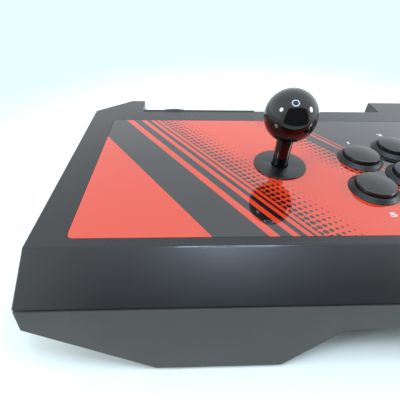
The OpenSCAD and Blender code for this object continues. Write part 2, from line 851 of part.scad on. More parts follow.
module lead_socket() {
    color([0.75, 0.76, 0.78]) difference() {
        union() {
            block([socket_x - socket_w / 2, bay_y0 + socket_proud - socket_l, socket_z - socket_h / 2],
                [socket_x + socket_w / 2, bay_y0 + socket_proud, socket_z + socket_h / 2]);
            block([socket_x - socket_w / 2 - bay_wall, bay_y0 - 2 * bay_wall, socket_z - socket_h / 2 - bay_wall],
                [socket_x + socket_w / 2 + bay_wall, bay_y0 - bay_wall, socket_z + socket_h / 2 + bay_wall]);
        }
        block([socket_x - socket_hole_w / 2, bay_y0 + socket_proud - socket_hole_l, socket_z - socket_hole_h / 2],
            [socket_x + socket_hole_w / 2, bay_y0 + socket_proud + over, socket_z + socket_hole_h / 2]);
    }
}

// BOARDS AND WIRES

// A plug or chip on the main board, centred on a spot
module on_board(x, y, w, d, h) {
    block([x - w / 2, y - d / 2, main_top - slip], [x + w / 2, y + d / 2, main_top + h]);
}

module main_board() {
    color([0.05, 0.3, 0.15]) difference() {
        union() {
            block([main_x0, main_y0, main_z], [main_x1, main_y0 + main_d, main_top]);
            on_board(main_x0 + plug_in + plug_h / 2, lead_y, plug_h, plug_w, plug_h);
            for (x = [lever_plug_x, button_plug_x])
                on_board(x, main_y0 + plug_in + plug_h / 2, plug_w, plug_h, plug_h);
            on_board(control_wire_x, control_wire_y, plug_w, plug_h, plug_h);
            for (i = [-1, 0]) on_board(main_x + i * (chip_w + chip_gap), main_y + chip_gap, chip_w, chip_w, chip_h);
        }
        for (p = MAIN_POSTS) bar(p, board_screw_r + slip, 0, case_h);
    }
}

module board_screws() {
    color([0.6, 0.61, 0.63]) {
        for (p = MAIN_POSTS) {
            bar(p, board_head_r, main_top, main_top + board_head_h);
            bar(p, board_screw_r, main_top - board_screw_l, main_top + board_head_h / 2);
        }
        for (p = CONTROL_POSTS)
            screw_up(p, control_board_z, board_screw_r, board_screw_l, board_head_r, board_head_h);
    }
}

module inner_lead() {
    start = [socket_x, bay_y0 + socket_proud - socket_l, socket_z];
    end = [main_x0 + plug_in, lead_y, plug_z];
    color([0.12, 0.12, 0.12]) tube(wire(start, [0, -lead_stub, 0], lead_route, end, [plug_stub, 0, 0]), wire_r, 8);
}

module lever_harness() {
    start = [lever_x + box_w / 2, lever_y, z_board - header_h / 2];
    end = [lever_plug_x, main_y0 + plug_in, plug_z];
    color([0.5, 0.5, 0.52]) tube(wire(start, [lever_stub, 0, 0], lever_route, end, [0, plug_stub, 0]), wire_r, 8);
}

module button_harness() {
    under = z_switch - blade_h - wire_r - clear;
    start = [button_plug_x, main_y0 + plug_in, plug_z];
    color([0.45, 0.1, 0.1]) tube(wire(start, [0, -plug_stub, 0], concat(
        [[BUTTONS[3][0], BUTTONS[3][1], under] + button_turn],
        [for (i = [3, 2, 1]) [BUTTONS[i][0], BUTTONS[i][1], under]]
    ), [BUTTONS[0][0], BUTTONS[0][1], under], [-switch_stub, 0, 0]), wire_r, 8);
}

module control_harness() {
    start = [control_wire_x, control_wire_y, main_top + plug_h];
    color([0.5, 0.5, 0.52]) tube(wire(start, [0, 0, board_stub], [start + control_bow],
        [control_wire_x, control_wire_y, control_board_z], [0, 0, board_stub]), wire_r, 8);
}

module control_board() {
    color([0.05, 0.3, 0.15]) difference() {
        block([strip_x - control_board_w / 2, strip_y - control_board_d / 2, control_board_z],
            [strip_x + control_board_w / 2, strip_y + control_board_d / 2, control_board_z + board_t]);
        for (p = CONTROL_POSTS) bar(p, board_screw_r + slip, 0, case_h);
    }
}

KEYS = [[pad_x, 0], [option_x, option_y], [option_x, -option_y], [home_x, 0], [turbo_x, option_y]];

module key_switches() {
    z0 = control_board_z + board_t;
    color([0.3, 0.3, 0.3]) {
        for (p = KEYS) translate([strip_x + p[0], strip_y + p[1], z0]) {
            translate([-key_body_w / 2, -key_body_w / 2, 0]) cube([key_body_w, key_body_w, key_body_h]);
            cylinder(r = key_tip_r, h = key_z - key_travel - slip - z0);
        }
        for (y = [-1, 1]) translate([strip_x + slide_x, strip_y + y * option_y, z0])
            translate([-slide_body_w / 2, -slide_body_d / 2, 0]) cube([slide_body_w, slide_body_d, key_body_h]);
        translate([strip_x + turbo_x, strip_y - option_y, z0])
            translate([-lens_d / 2, -lens_d / 2, 0]) cube([lens_d, lens_d, bezel_z - z0]);
    }
}

// CONTROL STRIP

module control_bezel() {
    color([0.08, 0.08, 0.09]) difference() {
        round_plate([strip_x, strip_y], strip_w, strip_d, panel_r, bezel_z, bezel_top);
        translate([strip_x, strip_y, 0]) {
            round_plate([pad_x, 0], pad_w + 2 * key_gap, pad_d + 2 * key_gap, key_r, 0, case_h + over);
            for (y = [-1, 1])
                round_plate([option_x, y * option_y], option_w + 2 * key_gap, option_d + 2 * key_gap,
                    key_r, 0, case_h + over);
            bar([home_x, 0], home_d / 2 + key_gap, 0, case_h + over);
            bar([turbo_x, option_y], turbo_d / 2 + key_gap, 0, case_h + over);
            block([turbo_x - lens_w / 2, -option_y - lens_d / 2, 0], [turbo_x + lens_w / 2, -option_y + lens_d / 2, case_h + over]);
            for (y = [-1, 1])
                block([slide_x - slide_w / 2 - key_gap, y * option_y - (slide_w + slide_travel) / 2 - key_gap, 0],
                    [slide_x + slide_w / 2 + key_gap, y * option_y + (slide_w + slide_travel) / 2 + key_gap,
                        case_h + over]);
        }
    }
}

module led_lens() {
    color([0.85, 0.87, 0.9]) translate([strip_x, strip_y, 0])
        block([turbo_x - lens_w / 2, -option_y - lens_d / 2, bezel_z],
            [turbo_x + lens_w / 2, -option_y + lens_d / 2, bezel_top + strip_up / 2]);
}

module round_key(spot, r) {
    translate([strip_x, strip_y, 0]) {
        bar(spot, r, key_z, bezel_top + key_up);
        bar(spot, r + key_gap + key_flange, key_z, bezel_z);
    }
}

module long_key(spot, w, d, up, flange) {
    translate([strip_x, strip_y, 0]) {
        round_plate(spot, w, d, key_r, key_z, bezel_top + up);
        round_plate(spot, w + 2 * flange, d + 2 * flange, key_r, key_z, bezel_z);
    }
}

module touch_pad() {
    color([0.1, 0.1, 0.11]) long_key([pad_x, 0], pad_w, pad_d, strip_up / 2, key_flange);
}

module home_button() {
    color([0.1, 0.1, 0.11]) round_key([home_x, 0], home_d / 2);
}

module option_button_left() {
    color([0.1, 0.1, 0.11]) long_key([option_x, option_y], option_w, option_d, key_up, key_flange);
}

module option_button_right() {
    color([0.1, 0.1, 0.11]) long_key([option_x, -option_y], option_w, option_d, key_up, key_flange);
}

module turbo_button() {
    color([0.1, 0.1, 0.11]) round_key([turbo_x, option_y], turbo_d / 2);
}

// Knob of a slide switch, drawn at the front end of its slot
module slide_knob(y) {
    spot = y - slide_travel / 2;
    z0 = control_board_z + board_t + key_body_h;
    translate([strip_x, strip_y, 0]) {
        block([slide_x - slide_w / 2, spot - slide_w / 2, z0],
            [slide_x + slide_w / 2, spot + slide_w / 2, bezel_top + key_up]);
    }
}

module lock_switch() {
    color([0.75, 0.75, 0.76]) slide_knob(option_y);
}

module mode_switch() {
    color([0.75, 0.75, 0.76]) slide_knob(-option_y);
}

// LEVER

module lever_mount_plate() {
    color([0.62, 0.63, 0.65]) at_lever() difference() {
        block([-mount_w / 2, -mount_l / 2, z_mount], [mount_w / 2, mount_l / 2, z_plate]);
        bar([0, 0], well_r, z_mount - over, z_plate + over);
        for (x = [-1, 1], y = [-1, 1]) {
            bar([x * mount_screw_x, y * mount_screw_y], mount_screw_r + slip, 0, case_h);
            bar([x * post_c, y * post_c], lever_screw_r + slip, 0, case_h);
        }
    }
}

module lever_body() {
    half = box_w / 2;
    inner = half - box_wall;
    color([0.12, 0.12, 0.13]) at_lever() difference() {
        union() {
            difference() {
                block([-half, -half, z_box], [half, half, z_mount]);
                block([-inner, -inner, z_box - over], [inner, inner, z_pivot]);
                block([-inner, -inner, z_pivot + cup_top], [inner, inner, z_mount - roof_t]);
            }
            for (x = [-1, 1], y = [-1, 1]) translate([x * post_c, y * post_c, 0])
                block([-post_w / 2, -post_w / 2, z_box], [post_w / 2, post_w / 2, z_mount]);
        }
        translate([0, 0, z_pivot]) sphere(r = pivot_r + pivot_gap);
        bar([0, 0], hole_r, z_pivot + cup_top + over, z_mount + over);
        for (x = [-1, 1], y = [-1, 1]) {
            bar([x * post_c, y * post_c], lever_screw_r + slip, z_box - over, z_box + lever_screw_bite);
            bar([x * post_c, y * post_c], lever_screw_r + slip, z_mount - lever_screw_bite, z_mount + over);
        }
    }
}

module pivot_retainer() {
    side = box_w / 2 - box_wall - slip;
    color([0.75, 0.75, 0.72]) at_lever() difference() {
        block([-side, -side, z_pivot - cup_deep], [side, side, z_pivot]);
        translate([0, 0, z_pivot]) sphere(r = pivot_r + pivot_gap);
        for (x = [-1, 1], y = [-1, 1]) translate([x * post_c, y * post_c, 0])
            block([-post_w / 2 - slip, -post_w / 2 - slip, 0], [post_w / 2 + slip, post_w / 2 + slip, case_h]);
    }
}

module spring_seat() {
    z1 = z_pivot - cup_deep;
    color([0.7, 0.7, 0.72]) at_lever() difference() {
        bar([0, 0], flange_r + slip, z1 - seat_t, z1);
        bar([0, 0], shaft_r / cos(lever_tilt) + (cup_deep + seat_t) * corner_throw + clear, 0, case_h);
    }
}

module switch_board() {
    half = box_w / 2;
    color([0.05, 0.3, 0.15]) at_lever() difference() {
        block([-half, -half, z_board], [half, half, z_box]);
        bar([0, 0], board_hole_r, 0, case_h);
        for (x = [-1, 1], y = [-1, 1]) bar([x * post_c, y * post_c], lever_screw_r + slip, 0, case_h);
    }
}

module lever_switches() {
    color([0.1, 0.1, 0.1]) at_lever() for (a = [0, 90, 180, 270]) rotate([0, 0, a]) {
        block([lever_switch_r, -lever_switch_w / 2, z_box],
            [lever_switch_r + lever_switch_d, lever_switch_w / 2, z_box + lever_switch_h]);
        block([lever_switch_r - lever_switch_tip, -lever_switch_tip / 2, z_box + lever_switch_h / 2],
            [lever_switch_r + slip, lever_switch_tip / 2, z_box + lever_switch_h / 2 + lever_switch_tip]);
    }
}

module lever_header() {
    half = box_w / 2;
    color([0.85, 0.85, 0.8]) at_lever()
        block([half - header_d, -header_w / 2, z_board - header_h], [half, header_w / 2, z_board]);
}

module gate() {
    half = box_w / 2;
    color([0.12, 0.12, 0.13]) at_lever() difference() {
        block([-half, -half, gate_z], [half, half, z_board]);
        block([-gate_half, -gate_half, 0], [gate_half, gate_half, case_h]);
        block([half - header_d - slip, -header_w / 2 - slip, 0], [half + over, header_w / 2 + slip, case_h]);
        for (x = [-1, 1], y = [-1, 1]) bar([x * post_c, y * post_c], lever_screw_r + slip, 0, case_h);
    }
}

module lever_screws() {
    color([0.7, 0.71, 0.73]) at_lever() for (x = [-1, 1], y = [-1, 1]) {
        screw_up([x * post_c, y * post_c], gate_z, lever_screw_r, z_box + lever_screw_bite - gate_z,
            lever_screw_head_r, lever_screw_head);
        bar([x * post_c, y * post_c], lever_screw_r, z_mount - lever_screw_bite, z_plate);
        screw_up([x * mount_screw_x, y * mount_screw_y], z_mount, mount_screw_r, mount_t + panel_screw_bite,
            mount_screw_head_r, mount_screw_head);
    }
}

module lever_spring() {
    color([0.75, 0.76, 0.78]) at_lever()
        coil(spring_r, spring_wire, z_flange + flange_t, z_pivot - cup_deep - seat_t, 4, 12, 6);
}

module ball_top() {
    color([0.03, 0.03, 0.035]) at_lever() difference() {
        translate([0, 0, z_ball]) sphere(d = ball_d, $fn = 96);
        bar([0, 0], ball_d, z_ball - ball_d, z_ball - ball_flat);
        bar([0, 0], thread_r + slip, z_ball - ball_d, z_ball - ball_flat + thread_l);
    }
}

module lever_shaft() {
    z_end = z_clip - shaft_end;
    color([0.72, 0.73, 0.75]) at_lever() difference() {
        union() {
            bar([0, 0], shaft_r, z_end, z_ball - ball_flat);
            bar([0, 0], thread_r, z_pivot, z_ball - ball_flat + thread_l);
        }
        difference() {
            bar([0, 0], shaft_d, z_clip, z_clip + clip_t);
            bar([0, 0], groove_r - slip, 0, z_ball);
        }
    }
}

module shaft_cover() {
    color([0.05, 0.05, 0.055]) at_lever() difference() {
        bar([0, 0], cover_r, z_pivot + neck_h, z_ball - ball_flat);
        bar([0, 0], shaft_r + slip, 0, z_ball);
    }
}

module pivot() {
    color([0.85, 0.85, 0.8]) at_lever() difference() {
        union() {
            difference() {
                translate([0, 0, z_pivot]) sphere(r = pivot_r);
                bar([0, 0], pivot_d, 0, z_pivot - pivot_flat);
            }
            bar([0, 0], neck_r, z_pivot + neck_r, z_pivot + neck_h);
        }
        bar([0, 0], shaft_r + slip, 0, z_ball);
    }
}

module actuator() {
    color([0.2, 0.2, 0.21]) at_lever() difference() {
        union() {
            bar([0, 0], tip_r, z_clip + clip_t, z_flange);
            bar([0, 0], sleeve_r, z_sleeve, z_flange + slip);
            bar([0, 0], flange_r, z_flange, z_flange + flange_t);
        }
        bar([0, 0], shaft_r + slip, 0, z_ball);
    }
}

module e_clip() {
    color([0.6, 0.61, 0.63]) at_lever() difference() {
        bar([0, 0], clip_r, z_clip, z_clip + clip_t);
        bar([0, 0], groove_r, 0, z_ball);
        block([-groove_r / 2, 0, 0], [groove_r / 2, clip_r + over, z_ball]);
    }
}

module lower_dust_washer() {
    color([0.1, 0.1, 0.1]) at_lever() difference() {
        bar([0, 0], lower_washer_r, z_mount, z_mount + washer_t);
        bar([0, 0], lower_washer_hole, 0, case_h);
    }
}

module dust_washer() {
    color([0.2, 0.2, 0.2]) at_lever() difference() {
        bar([0, 0], washer_d / 2, case_h, case_h + washer_t);
        bar([0, 0], washer_hole, 0, z_ball);
    }
}

// BUTTONS

module button_housing() {
    rim_r = rim_d / 2;
    translate([0, 0, case_h]) {
        rotate_extrude() polygon([
            [bore_r, -over], [bore_r, rim_h], [bore_r + rim_land, rim_h], [rim_r - rim_edge / 2, 2 * rim_edge],
            [rim_r, rim_edge], [rim_r, 0], [body_r, 0], [body_r, -over]
        ]);
        difference() {
            bar([0, 0], body_r, -button_deep, -over);
            bar([0, 0], bore_r, -button_deep + button_floor, 0);
            bar([0, 0], stem_hole_r, -button_deep - over, 0);
        }
        for (y = [-1, 1]) translate([0, y * (switch_d + cheek_t) / 2, -button_deep])
            block([-switch_w / 2, -cheek_t / 2, -switch_gap - switch_h], [switch_w / 2, cheek_t / 2, slip]);
    }
}

module button_housings() {
    color([0.14, 0.14, 0.145]) for (p = BUTTONS) translate([p[0], p[1], 0]) button_housing();
}

module plunger(i) {
    r = plunger_d / 2;
    rise = plunger_up - plunger_side;
    crown_r = (r * r + rise * rise) / (2 * rise);
    color([0.13, 0.13, 0.135]) translate([BUTTONS[i][0], BUTTONS[i][1], case_h]) {
        intersection() {
            translate([0, 0, plunger_up - crown_r]) sphere(r = crown_r, $fn = 96);
            bar([0, 0], r, plunger_side - crown_t, plunger_up + over);
        }
        difference() {
            bar([0, 0], r, -skirt_deep, plunger_side - crown_t + slip);
            difference() {
                bar([0, 0], r - button_wall, -skirt_deep - over, plunger_side - crown_t - slip);
                bar([0, 0], hub_r, -hub_deep, case_h);
            }
        }
        bar([0, 0], stem_r, -button_deep - stem_over, -hub_deep + slip);
    }
}

module button_springs() {
    color([0.75, 0.76, 0.78]) for (p = BUTTONS) translate([p[0], p[1], case_h])
        coil(button_spring_r, button_wire, -button_deep + button_floor, -hub_deep, 4, 8, 4);
}

module button_switches() {
    color([0.1, 0.1, 0.1]) for (p = BUTTONS) translate([p[0], p[1], z_switch]) {
        block([-switch_w / 2, -switch_d / 2, 0], [switch_w / 2, switch_d / 2, switch_h]);
        for (x = [-1, 1]) translate([x * blade_step, 0, 0])
            block([-blade_t / 2, -blade_w / 2, -blade_h], [blade_t / 2, blade_w / 2, slip]);
    }
}

top_shell();
base_shell();
bottom_plate();
rubber_feet();
case_screws();
plate_screws();
control_plate();
panel_overlay();
panel_screws();
cable_bay();
cable_door();
door_pins();
lead_socket();
main_board();
board_screws();
inner_lead();
lever_harness();
button_harness();
control_harness();
control_board();
key_switches();
control_bezel();
led_lens();
touch_pad();
home_button();
option_button_left();
option_button_right();
turbo_button();
lock_switch();
mode_switch();
lever_mount_plate();
lever_body();
pivot_retainer();
spring_seat();
switch_board();
lever_switches();
lever_header();
gate();
lever_screws();
lever_spring();
ball_top();
lever_shaft();
shaft_cover();
pivot();
actuator();
e_clip();
lower_dust_washer();
dust_washer();
button_housings();
button_springs();
button_switches();
plunger(0);  // plunger_1
plunger(1);  // plunger_2
plunger(2);  // plunger_3
plunger(3);  // plunger_4
plunger(4);  // plunger_5
plunger(5);  // plunger_6
plunger(6);  // plunger_7
plunger(7);  // plunger_8
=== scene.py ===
"""Looks of an arcade fight stick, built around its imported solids.

Row frame: the origin is the centre of the footprint on the table, +X right, +Y to the rear, +Z up.
The classes hold their sizes in millimetres, and every mesh is handed over in metres.
"""

import json
import logging
import math
from dataclasses import dataclass, field
from enum import Enum
from functools import cache, partialmethod
from typing import Callable, Optional, Sequence, Union

import bmesh
import bpy
from mathutils import Matrix, Vector

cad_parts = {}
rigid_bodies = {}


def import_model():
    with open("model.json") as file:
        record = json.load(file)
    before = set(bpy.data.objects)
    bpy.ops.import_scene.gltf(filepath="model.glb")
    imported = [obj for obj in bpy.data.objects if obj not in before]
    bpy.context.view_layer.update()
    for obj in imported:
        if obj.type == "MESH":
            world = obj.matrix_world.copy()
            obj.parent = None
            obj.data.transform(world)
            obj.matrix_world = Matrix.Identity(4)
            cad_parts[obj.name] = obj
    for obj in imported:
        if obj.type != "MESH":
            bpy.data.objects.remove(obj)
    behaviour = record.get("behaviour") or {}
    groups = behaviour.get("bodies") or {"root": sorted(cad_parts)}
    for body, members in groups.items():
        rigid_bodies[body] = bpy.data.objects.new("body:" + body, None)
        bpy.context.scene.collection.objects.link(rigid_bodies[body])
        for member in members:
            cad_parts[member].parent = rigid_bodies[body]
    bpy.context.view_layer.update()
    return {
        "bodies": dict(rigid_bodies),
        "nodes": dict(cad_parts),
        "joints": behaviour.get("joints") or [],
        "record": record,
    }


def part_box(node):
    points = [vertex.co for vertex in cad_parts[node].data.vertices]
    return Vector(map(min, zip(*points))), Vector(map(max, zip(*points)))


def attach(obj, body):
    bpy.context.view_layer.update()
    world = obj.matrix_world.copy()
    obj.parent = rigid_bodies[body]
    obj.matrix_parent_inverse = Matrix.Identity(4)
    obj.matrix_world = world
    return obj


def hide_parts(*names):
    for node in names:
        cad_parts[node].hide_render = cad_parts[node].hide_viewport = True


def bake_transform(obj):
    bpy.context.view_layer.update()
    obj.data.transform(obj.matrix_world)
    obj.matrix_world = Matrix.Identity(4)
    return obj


LOG = logging.getLogger("fight_stick")
MM = 0.001
NEAR = 0.01  # mm within which two heights count as one
BITE = 0.05  # mm by which a joined solid sinks into its neighbour
OVER = 1.0  # mm by which a cutter reaches past what it cuts
SMALL_TURN, TURN, LARGE_TURN = 32, 64, 128  # facets of round things

Point = tuple[float, float]
Place = tuple[float, float, float]
Colour = tuple[float, float, float]
Inputs = dict[Union[str, int], object]


class Axis(Enum):
    """Direction in which an outline is drawn out, as its number."""

    X = 0
    Y = 1
    Z = 2


class Merge(Enum):
    """What a solid keeps of another one."""

    CUT = "DIFFERENCE"
    JOIN = "UNION"
    COMMON = "INTERSECT"


class Grain(Enum):
    """Surface texture of a moulding, as (size in mm, bump strength)."""

    SATIN = (0.35, 0.10)
    FINE = (0.55, 0.22)
    COARSE = (0.9, 0.45)


# Shader maths


class Signal:
    """A number that a shader works out, with Python's operators adding Math nodes."""

    def __init__(self, recipe: "Recipe", socket: bpy.types.NodeSocket) -> None:
        """Wraps the output socket that carries the number."""
        self.recipe = recipe
        self.socket = socket

    def _first(self, operation: str, *others: "Number") -> "Signal":
        """Adds a Math node that takes this first."""
        return self.recipe.math(operation, self, *others)

    def _second(self, operation: str, other: "Number") -> "Signal":
        """Adds a Math node that takes this second."""
        return self.recipe.math(operation, other, self)

    __add__ = partialmethod(_first, "ADD")
    __radd__ = partialmethod(_second, "ADD")
    __sub__ = partialmethod(_first, "SUBTRACT")
    __rsub__ = partialmethod(_second, "SUBTRACT")
    __mul__ = partialmethod(_first, "MULTIPLY")
    __rmul__ = partialmethod(_second, "MULTIPLY")
    __truediv__ = partialmethod(_first, "DIVIDE")
    __pow__ = partialmethod(_first, "POWER")
    __gt__ = partialmethod(_first, "GREATER_THAN")
    __lt__ = partialmethod(_first, "LESS_THAN")
    __abs__ = partialmethod(_first, "ABSOLUTE")
    larger = partialmethod(_first, "MAXIMUM")
    fraction = partialmethod(_first, "FRACT")
    arccosine = partialmethod(_first, "ARCCOSINE")
    degrees = partialmethod(_first, "DEGREES")

    def rise(self, low: float, high: float) -> "Signal":
        """Smooth step from 0 at low to 1 at high."""
        inputs = {"Value": self, "From Min": low, "From Max": high}
        return self.recipe.number("ShaderNodeMapRange", {"interpolation_type": "SMOOTHSTEP"}, inputs, "Result")


Number = Union[Signal, float]


class Recipe:
    """A node tree being written, of a material or of the surroundings."""

    def __init__(self, tree: bpy.types.NodeTree, coordinates: str = "Object") -> None:
        """Empties the tree and adds its coordinates.

        Args:
            tree: the node tree to write.
            coordinates: which texture coordinates it works from.
        """
        self.tree = tree
        self.tree.nodes.clear()
        self.place = self.node("ShaderNodeTexCoord", {}, {}).outputs[coordinates]

    def node(self, kind: str, settings: dict[str, str], inputs: Inputs) -> bpy.types.Node:
        """Adds one node.

        Args:
            kind: the node's type.
            settings: its properties.
            inputs: values, sockets or signals for its inputs, by name or number.

        Returns:
            The node.
        """
        made = self.tree.nodes.new(kind)
        for name, value in settings.items():
            setattr(made, name, value)
        for name, value in inputs.items():
            value = value.socket if isinstance(value, Signal) else value
            if isinstance(value, bpy.types.NodeSocket):
                self.tree.links.new(value, made.inputs[name])
            else:
                made.inputs[name].default_value = value
        return made

    def number(self, kind: str, settings: dict[str, str], inputs: Inputs, output: Union[str, int]) -> Signal:
        """Adds one node and takes the number that an output of it carries."""
        return Signal(self, self.node(kind, settings, inputs).outputs[output])

    def math(self, operation: str, *values: Number) -> Signal:
        """Adds a Math node on some numbers."""
        return self.number("ShaderNodeMath", {"operation": operation}, dict(enumerate(values)), 0)

    def scaled(self, *factors: float) -> bpy.types.NodeSocket:
        """The place with each of its three numbers times a factor."""
        return self.node("ShaderNodeVectorMath", {"operation": "MULTIPLY"}, {0: self.place, 1: factors}).outputs[0]

    def numbers(self, unit: float = MM) -> tuple[Signal, ...]:
        """The place's x, y and z in a unit."""
        parts = self.node("ShaderNodeSeparateXYZ", {}, {0: self.scaled(1 / unit, 1 / unit, 1 / unit)}).outputs
        return tuple(Signal(self, part) for part in parts)

    def angle(self, direction: Place) -> Signal:
        """Angle between a direction and the place, taken as one, in degrees."""
        inputs = {0: self.place, 1: Vector(direction).normalized()}
        return self.number("ShaderNodeVectorMath", {"operation": "DOT_PRODUCT"}, inputs, "Value").arccosine().degrees()

    def mix(self, share: Number, first: object, second: object) -> bpy.types.NodeSocket:
        """Blends two colours or sockets by the second one's share. Inputs 6 and 7 are the Mix node's colours."""
        first, second = ((*c, 1.0) if isinstance(c, tuple) else c for c in (first, second))
        return self.node("ShaderNodeMix", {"data_type": "RGBA"}, {0: share, 6: first, 7: second}).outputs[2]

    def noise(
        self, size: float, detail: float = 2.0, rough: float = 0.5, stretch: Place = (1.0, 1.0, 1.0)
    ) -> Signal:
        """Adds cloudy noise.

        Args:
            size: how large the clouds are, in mm.
            detail: octaves of finer clouds.
            rough: how strong the finer ones are.
            stretch: factors on the place; a small one draws the clouds out that way.

        Returns:
            The noise, from about 0 to 1 around 0.5.
        """
        inputs = {"Vector": self.scaled(*stretch), "Scale": 1 / (size * MM), "Detail": detail, "Roughness": rough}
        return self.number("ShaderNodeTexNoise", {}, inputs, "Fac")

    def cells(self, size: float) -> Signal:
        """Adds small round cells, a size in mm apart, as the distance from the nearest one's middle."""
        inputs = {"Vector": self.place, "Scale": 1 / (size * MM)}
        return self.number("ShaderNodeTexVoronoi", {}, inputs, "Distance")

    def bump(self, height: Signal, strength: float, depth: float) -> bpy.types.NodeSocket:
        """Normal of a relief from 0 to 1, whose full depth is in mm and of which strength shows."""
        inputs = {"Height": height, "Strength": strength, "Distance": depth * MM}
        return self.node("ShaderNodeBump", {}, inputs).outputs["Normal"]


def shade(colour: Colour, factor: float, lift: float = 0.0) -> Colour:
    """A colour made darker or paler."""
    return tuple(c * factor + lift for c in colour)


class Coating:
    """Base of every finish: a material with one Principled shader."""

    IOR = 1.5

    def inputs(self, recipe: Recipe) -> Inputs:
        """Inputs of the shader: numbers where they are the same all over, else signals or sockets."""
        raise NotImplementedError

    def shader(self, recipe: Recipe) -> bpy.types.NodeSocket:
        """Adds the shader."""
        return recipe.node("ShaderNodeBsdfPrincipled", {}, self.inputs(recipe)).outputs["BSDF"]

    def make(self, name: str) -> bpy.types.Material:
        """Builds the material.

        Args:
            name: its name.

        Returns:
            The material.
        """
        material = bpy.data.materials.new(name)
        material.use_nodes = True
        recipe = Recipe(material.node_tree)
        recipe.node("ShaderNodeOutputMaterial", {}, {"Surface": self.shader(recipe)})
        return material


@dataclass(frozen=True)
class MouldedPlastic(Coating):
    """Moulded plastic with a fine grain, faint clouds and a few pale specks of dust and wear.

    An edge along X, given by its (y, z), can be rubbed smooth.
    """

    colour: Colour
    roughness: float = 0.5
    grain: Grain = Grain.FINE
    clouds: float = 0.12
    specks: float = 0.5
    shine: float = 0.5
    dust: Colour = (0.055, 0.058, 0.060)
    rubbed: Optional[Point] = None
    rub: float = 0.16
    rub_reach: Point = (0.5, 1.5)  # mm from the edge where the rubbing starts to fade and ends

    def inputs(self, recipe: Recipe) -> Inputs:
        """Works out the shader's inputs.

        Args:
            recipe: the material's recipe.

        Returns:
            The inputs, by name.
        """
        size, strength = self.grain.value
        broad, fine = recipe.noise(size=45.0, detail=3.0), recipe.noise(size, detail=3.0, rough=0.6)
        dark, light = (shade(self.colour, 1 + clouds) for clouds in (-self.clouds, self.clouds))
        dust = recipe.noise(size=1.1, detail=1.0).rise(0.70, 0.80) * recipe.noise(size=30.0).rise(0.35, 0.7)
        relief = fine * 0.6 + recipe.cells(size * 1.7) * 0.4
        roughness = self.roughness + (broad - 0.5) * 0.10 + (fine - 0.5) * 0.12
        if self.rubbed:
            _, y, z = recipe.numbers()
            from_edge = abs(y - self.rubbed[0]) + abs(z - self.rubbed[1])
            roughness = roughness - (1 - from_edge.rise(*self.rub_reach)) * self.rub
        return {
            "IOR": self.IOR,
            "Specular IOR Level": self.shine,
            "Base Color": recipe.mix(dust * self.specks, recipe.mix(broad.rise(0.3, 0.7), dark, light), self.dust),
            "Roughness": roughness,
            "Normal": recipe.bump(relief, strength, depth=size * 0.12),
        }


@dataclass(frozen=True)
class GlossPlastic(Coating):
    """Polished plastic: a dark body under a clear skin, with faint ripples, dust and wipe marks."""

    colour: Colour
    roughness: float = 0.25
    skin_roughness: float = 0.03
    wipes: float = 0.05

    def inputs(self, recipe: Recipe) -> Inputs:
        """Works out the shader's inputs.

        Args:
            recipe: the material's recipe.

        Returns:
            The inputs, by name.
        """
        ripples = recipe.noise(size=14.0)
        wiped = recipe.noise(size=2.2, detail=3.0, rough=0.6, stretch=(0.25, 1.0, 0.35)).rise(0.55, 0.8)
        return {
            "IOR": self.IOR,
            "Specular IOR Level": 0.0,
            "Coat Weight": 1.0,
            "Coat Roughness": self.skin_roughness,
            "Coat IOR": self.IOR,
            "Base Color": recipe.mix(wiped * 0.35, self.colour, shade(self.colour, 1.6, 0.002)),
            "Roughness": self.roughness + wiped * self.wipes + (ripples - 0.5) * 0.04,
            "Normal": recipe.bump(ripples, strength=0.05, depth=0.05),
        }


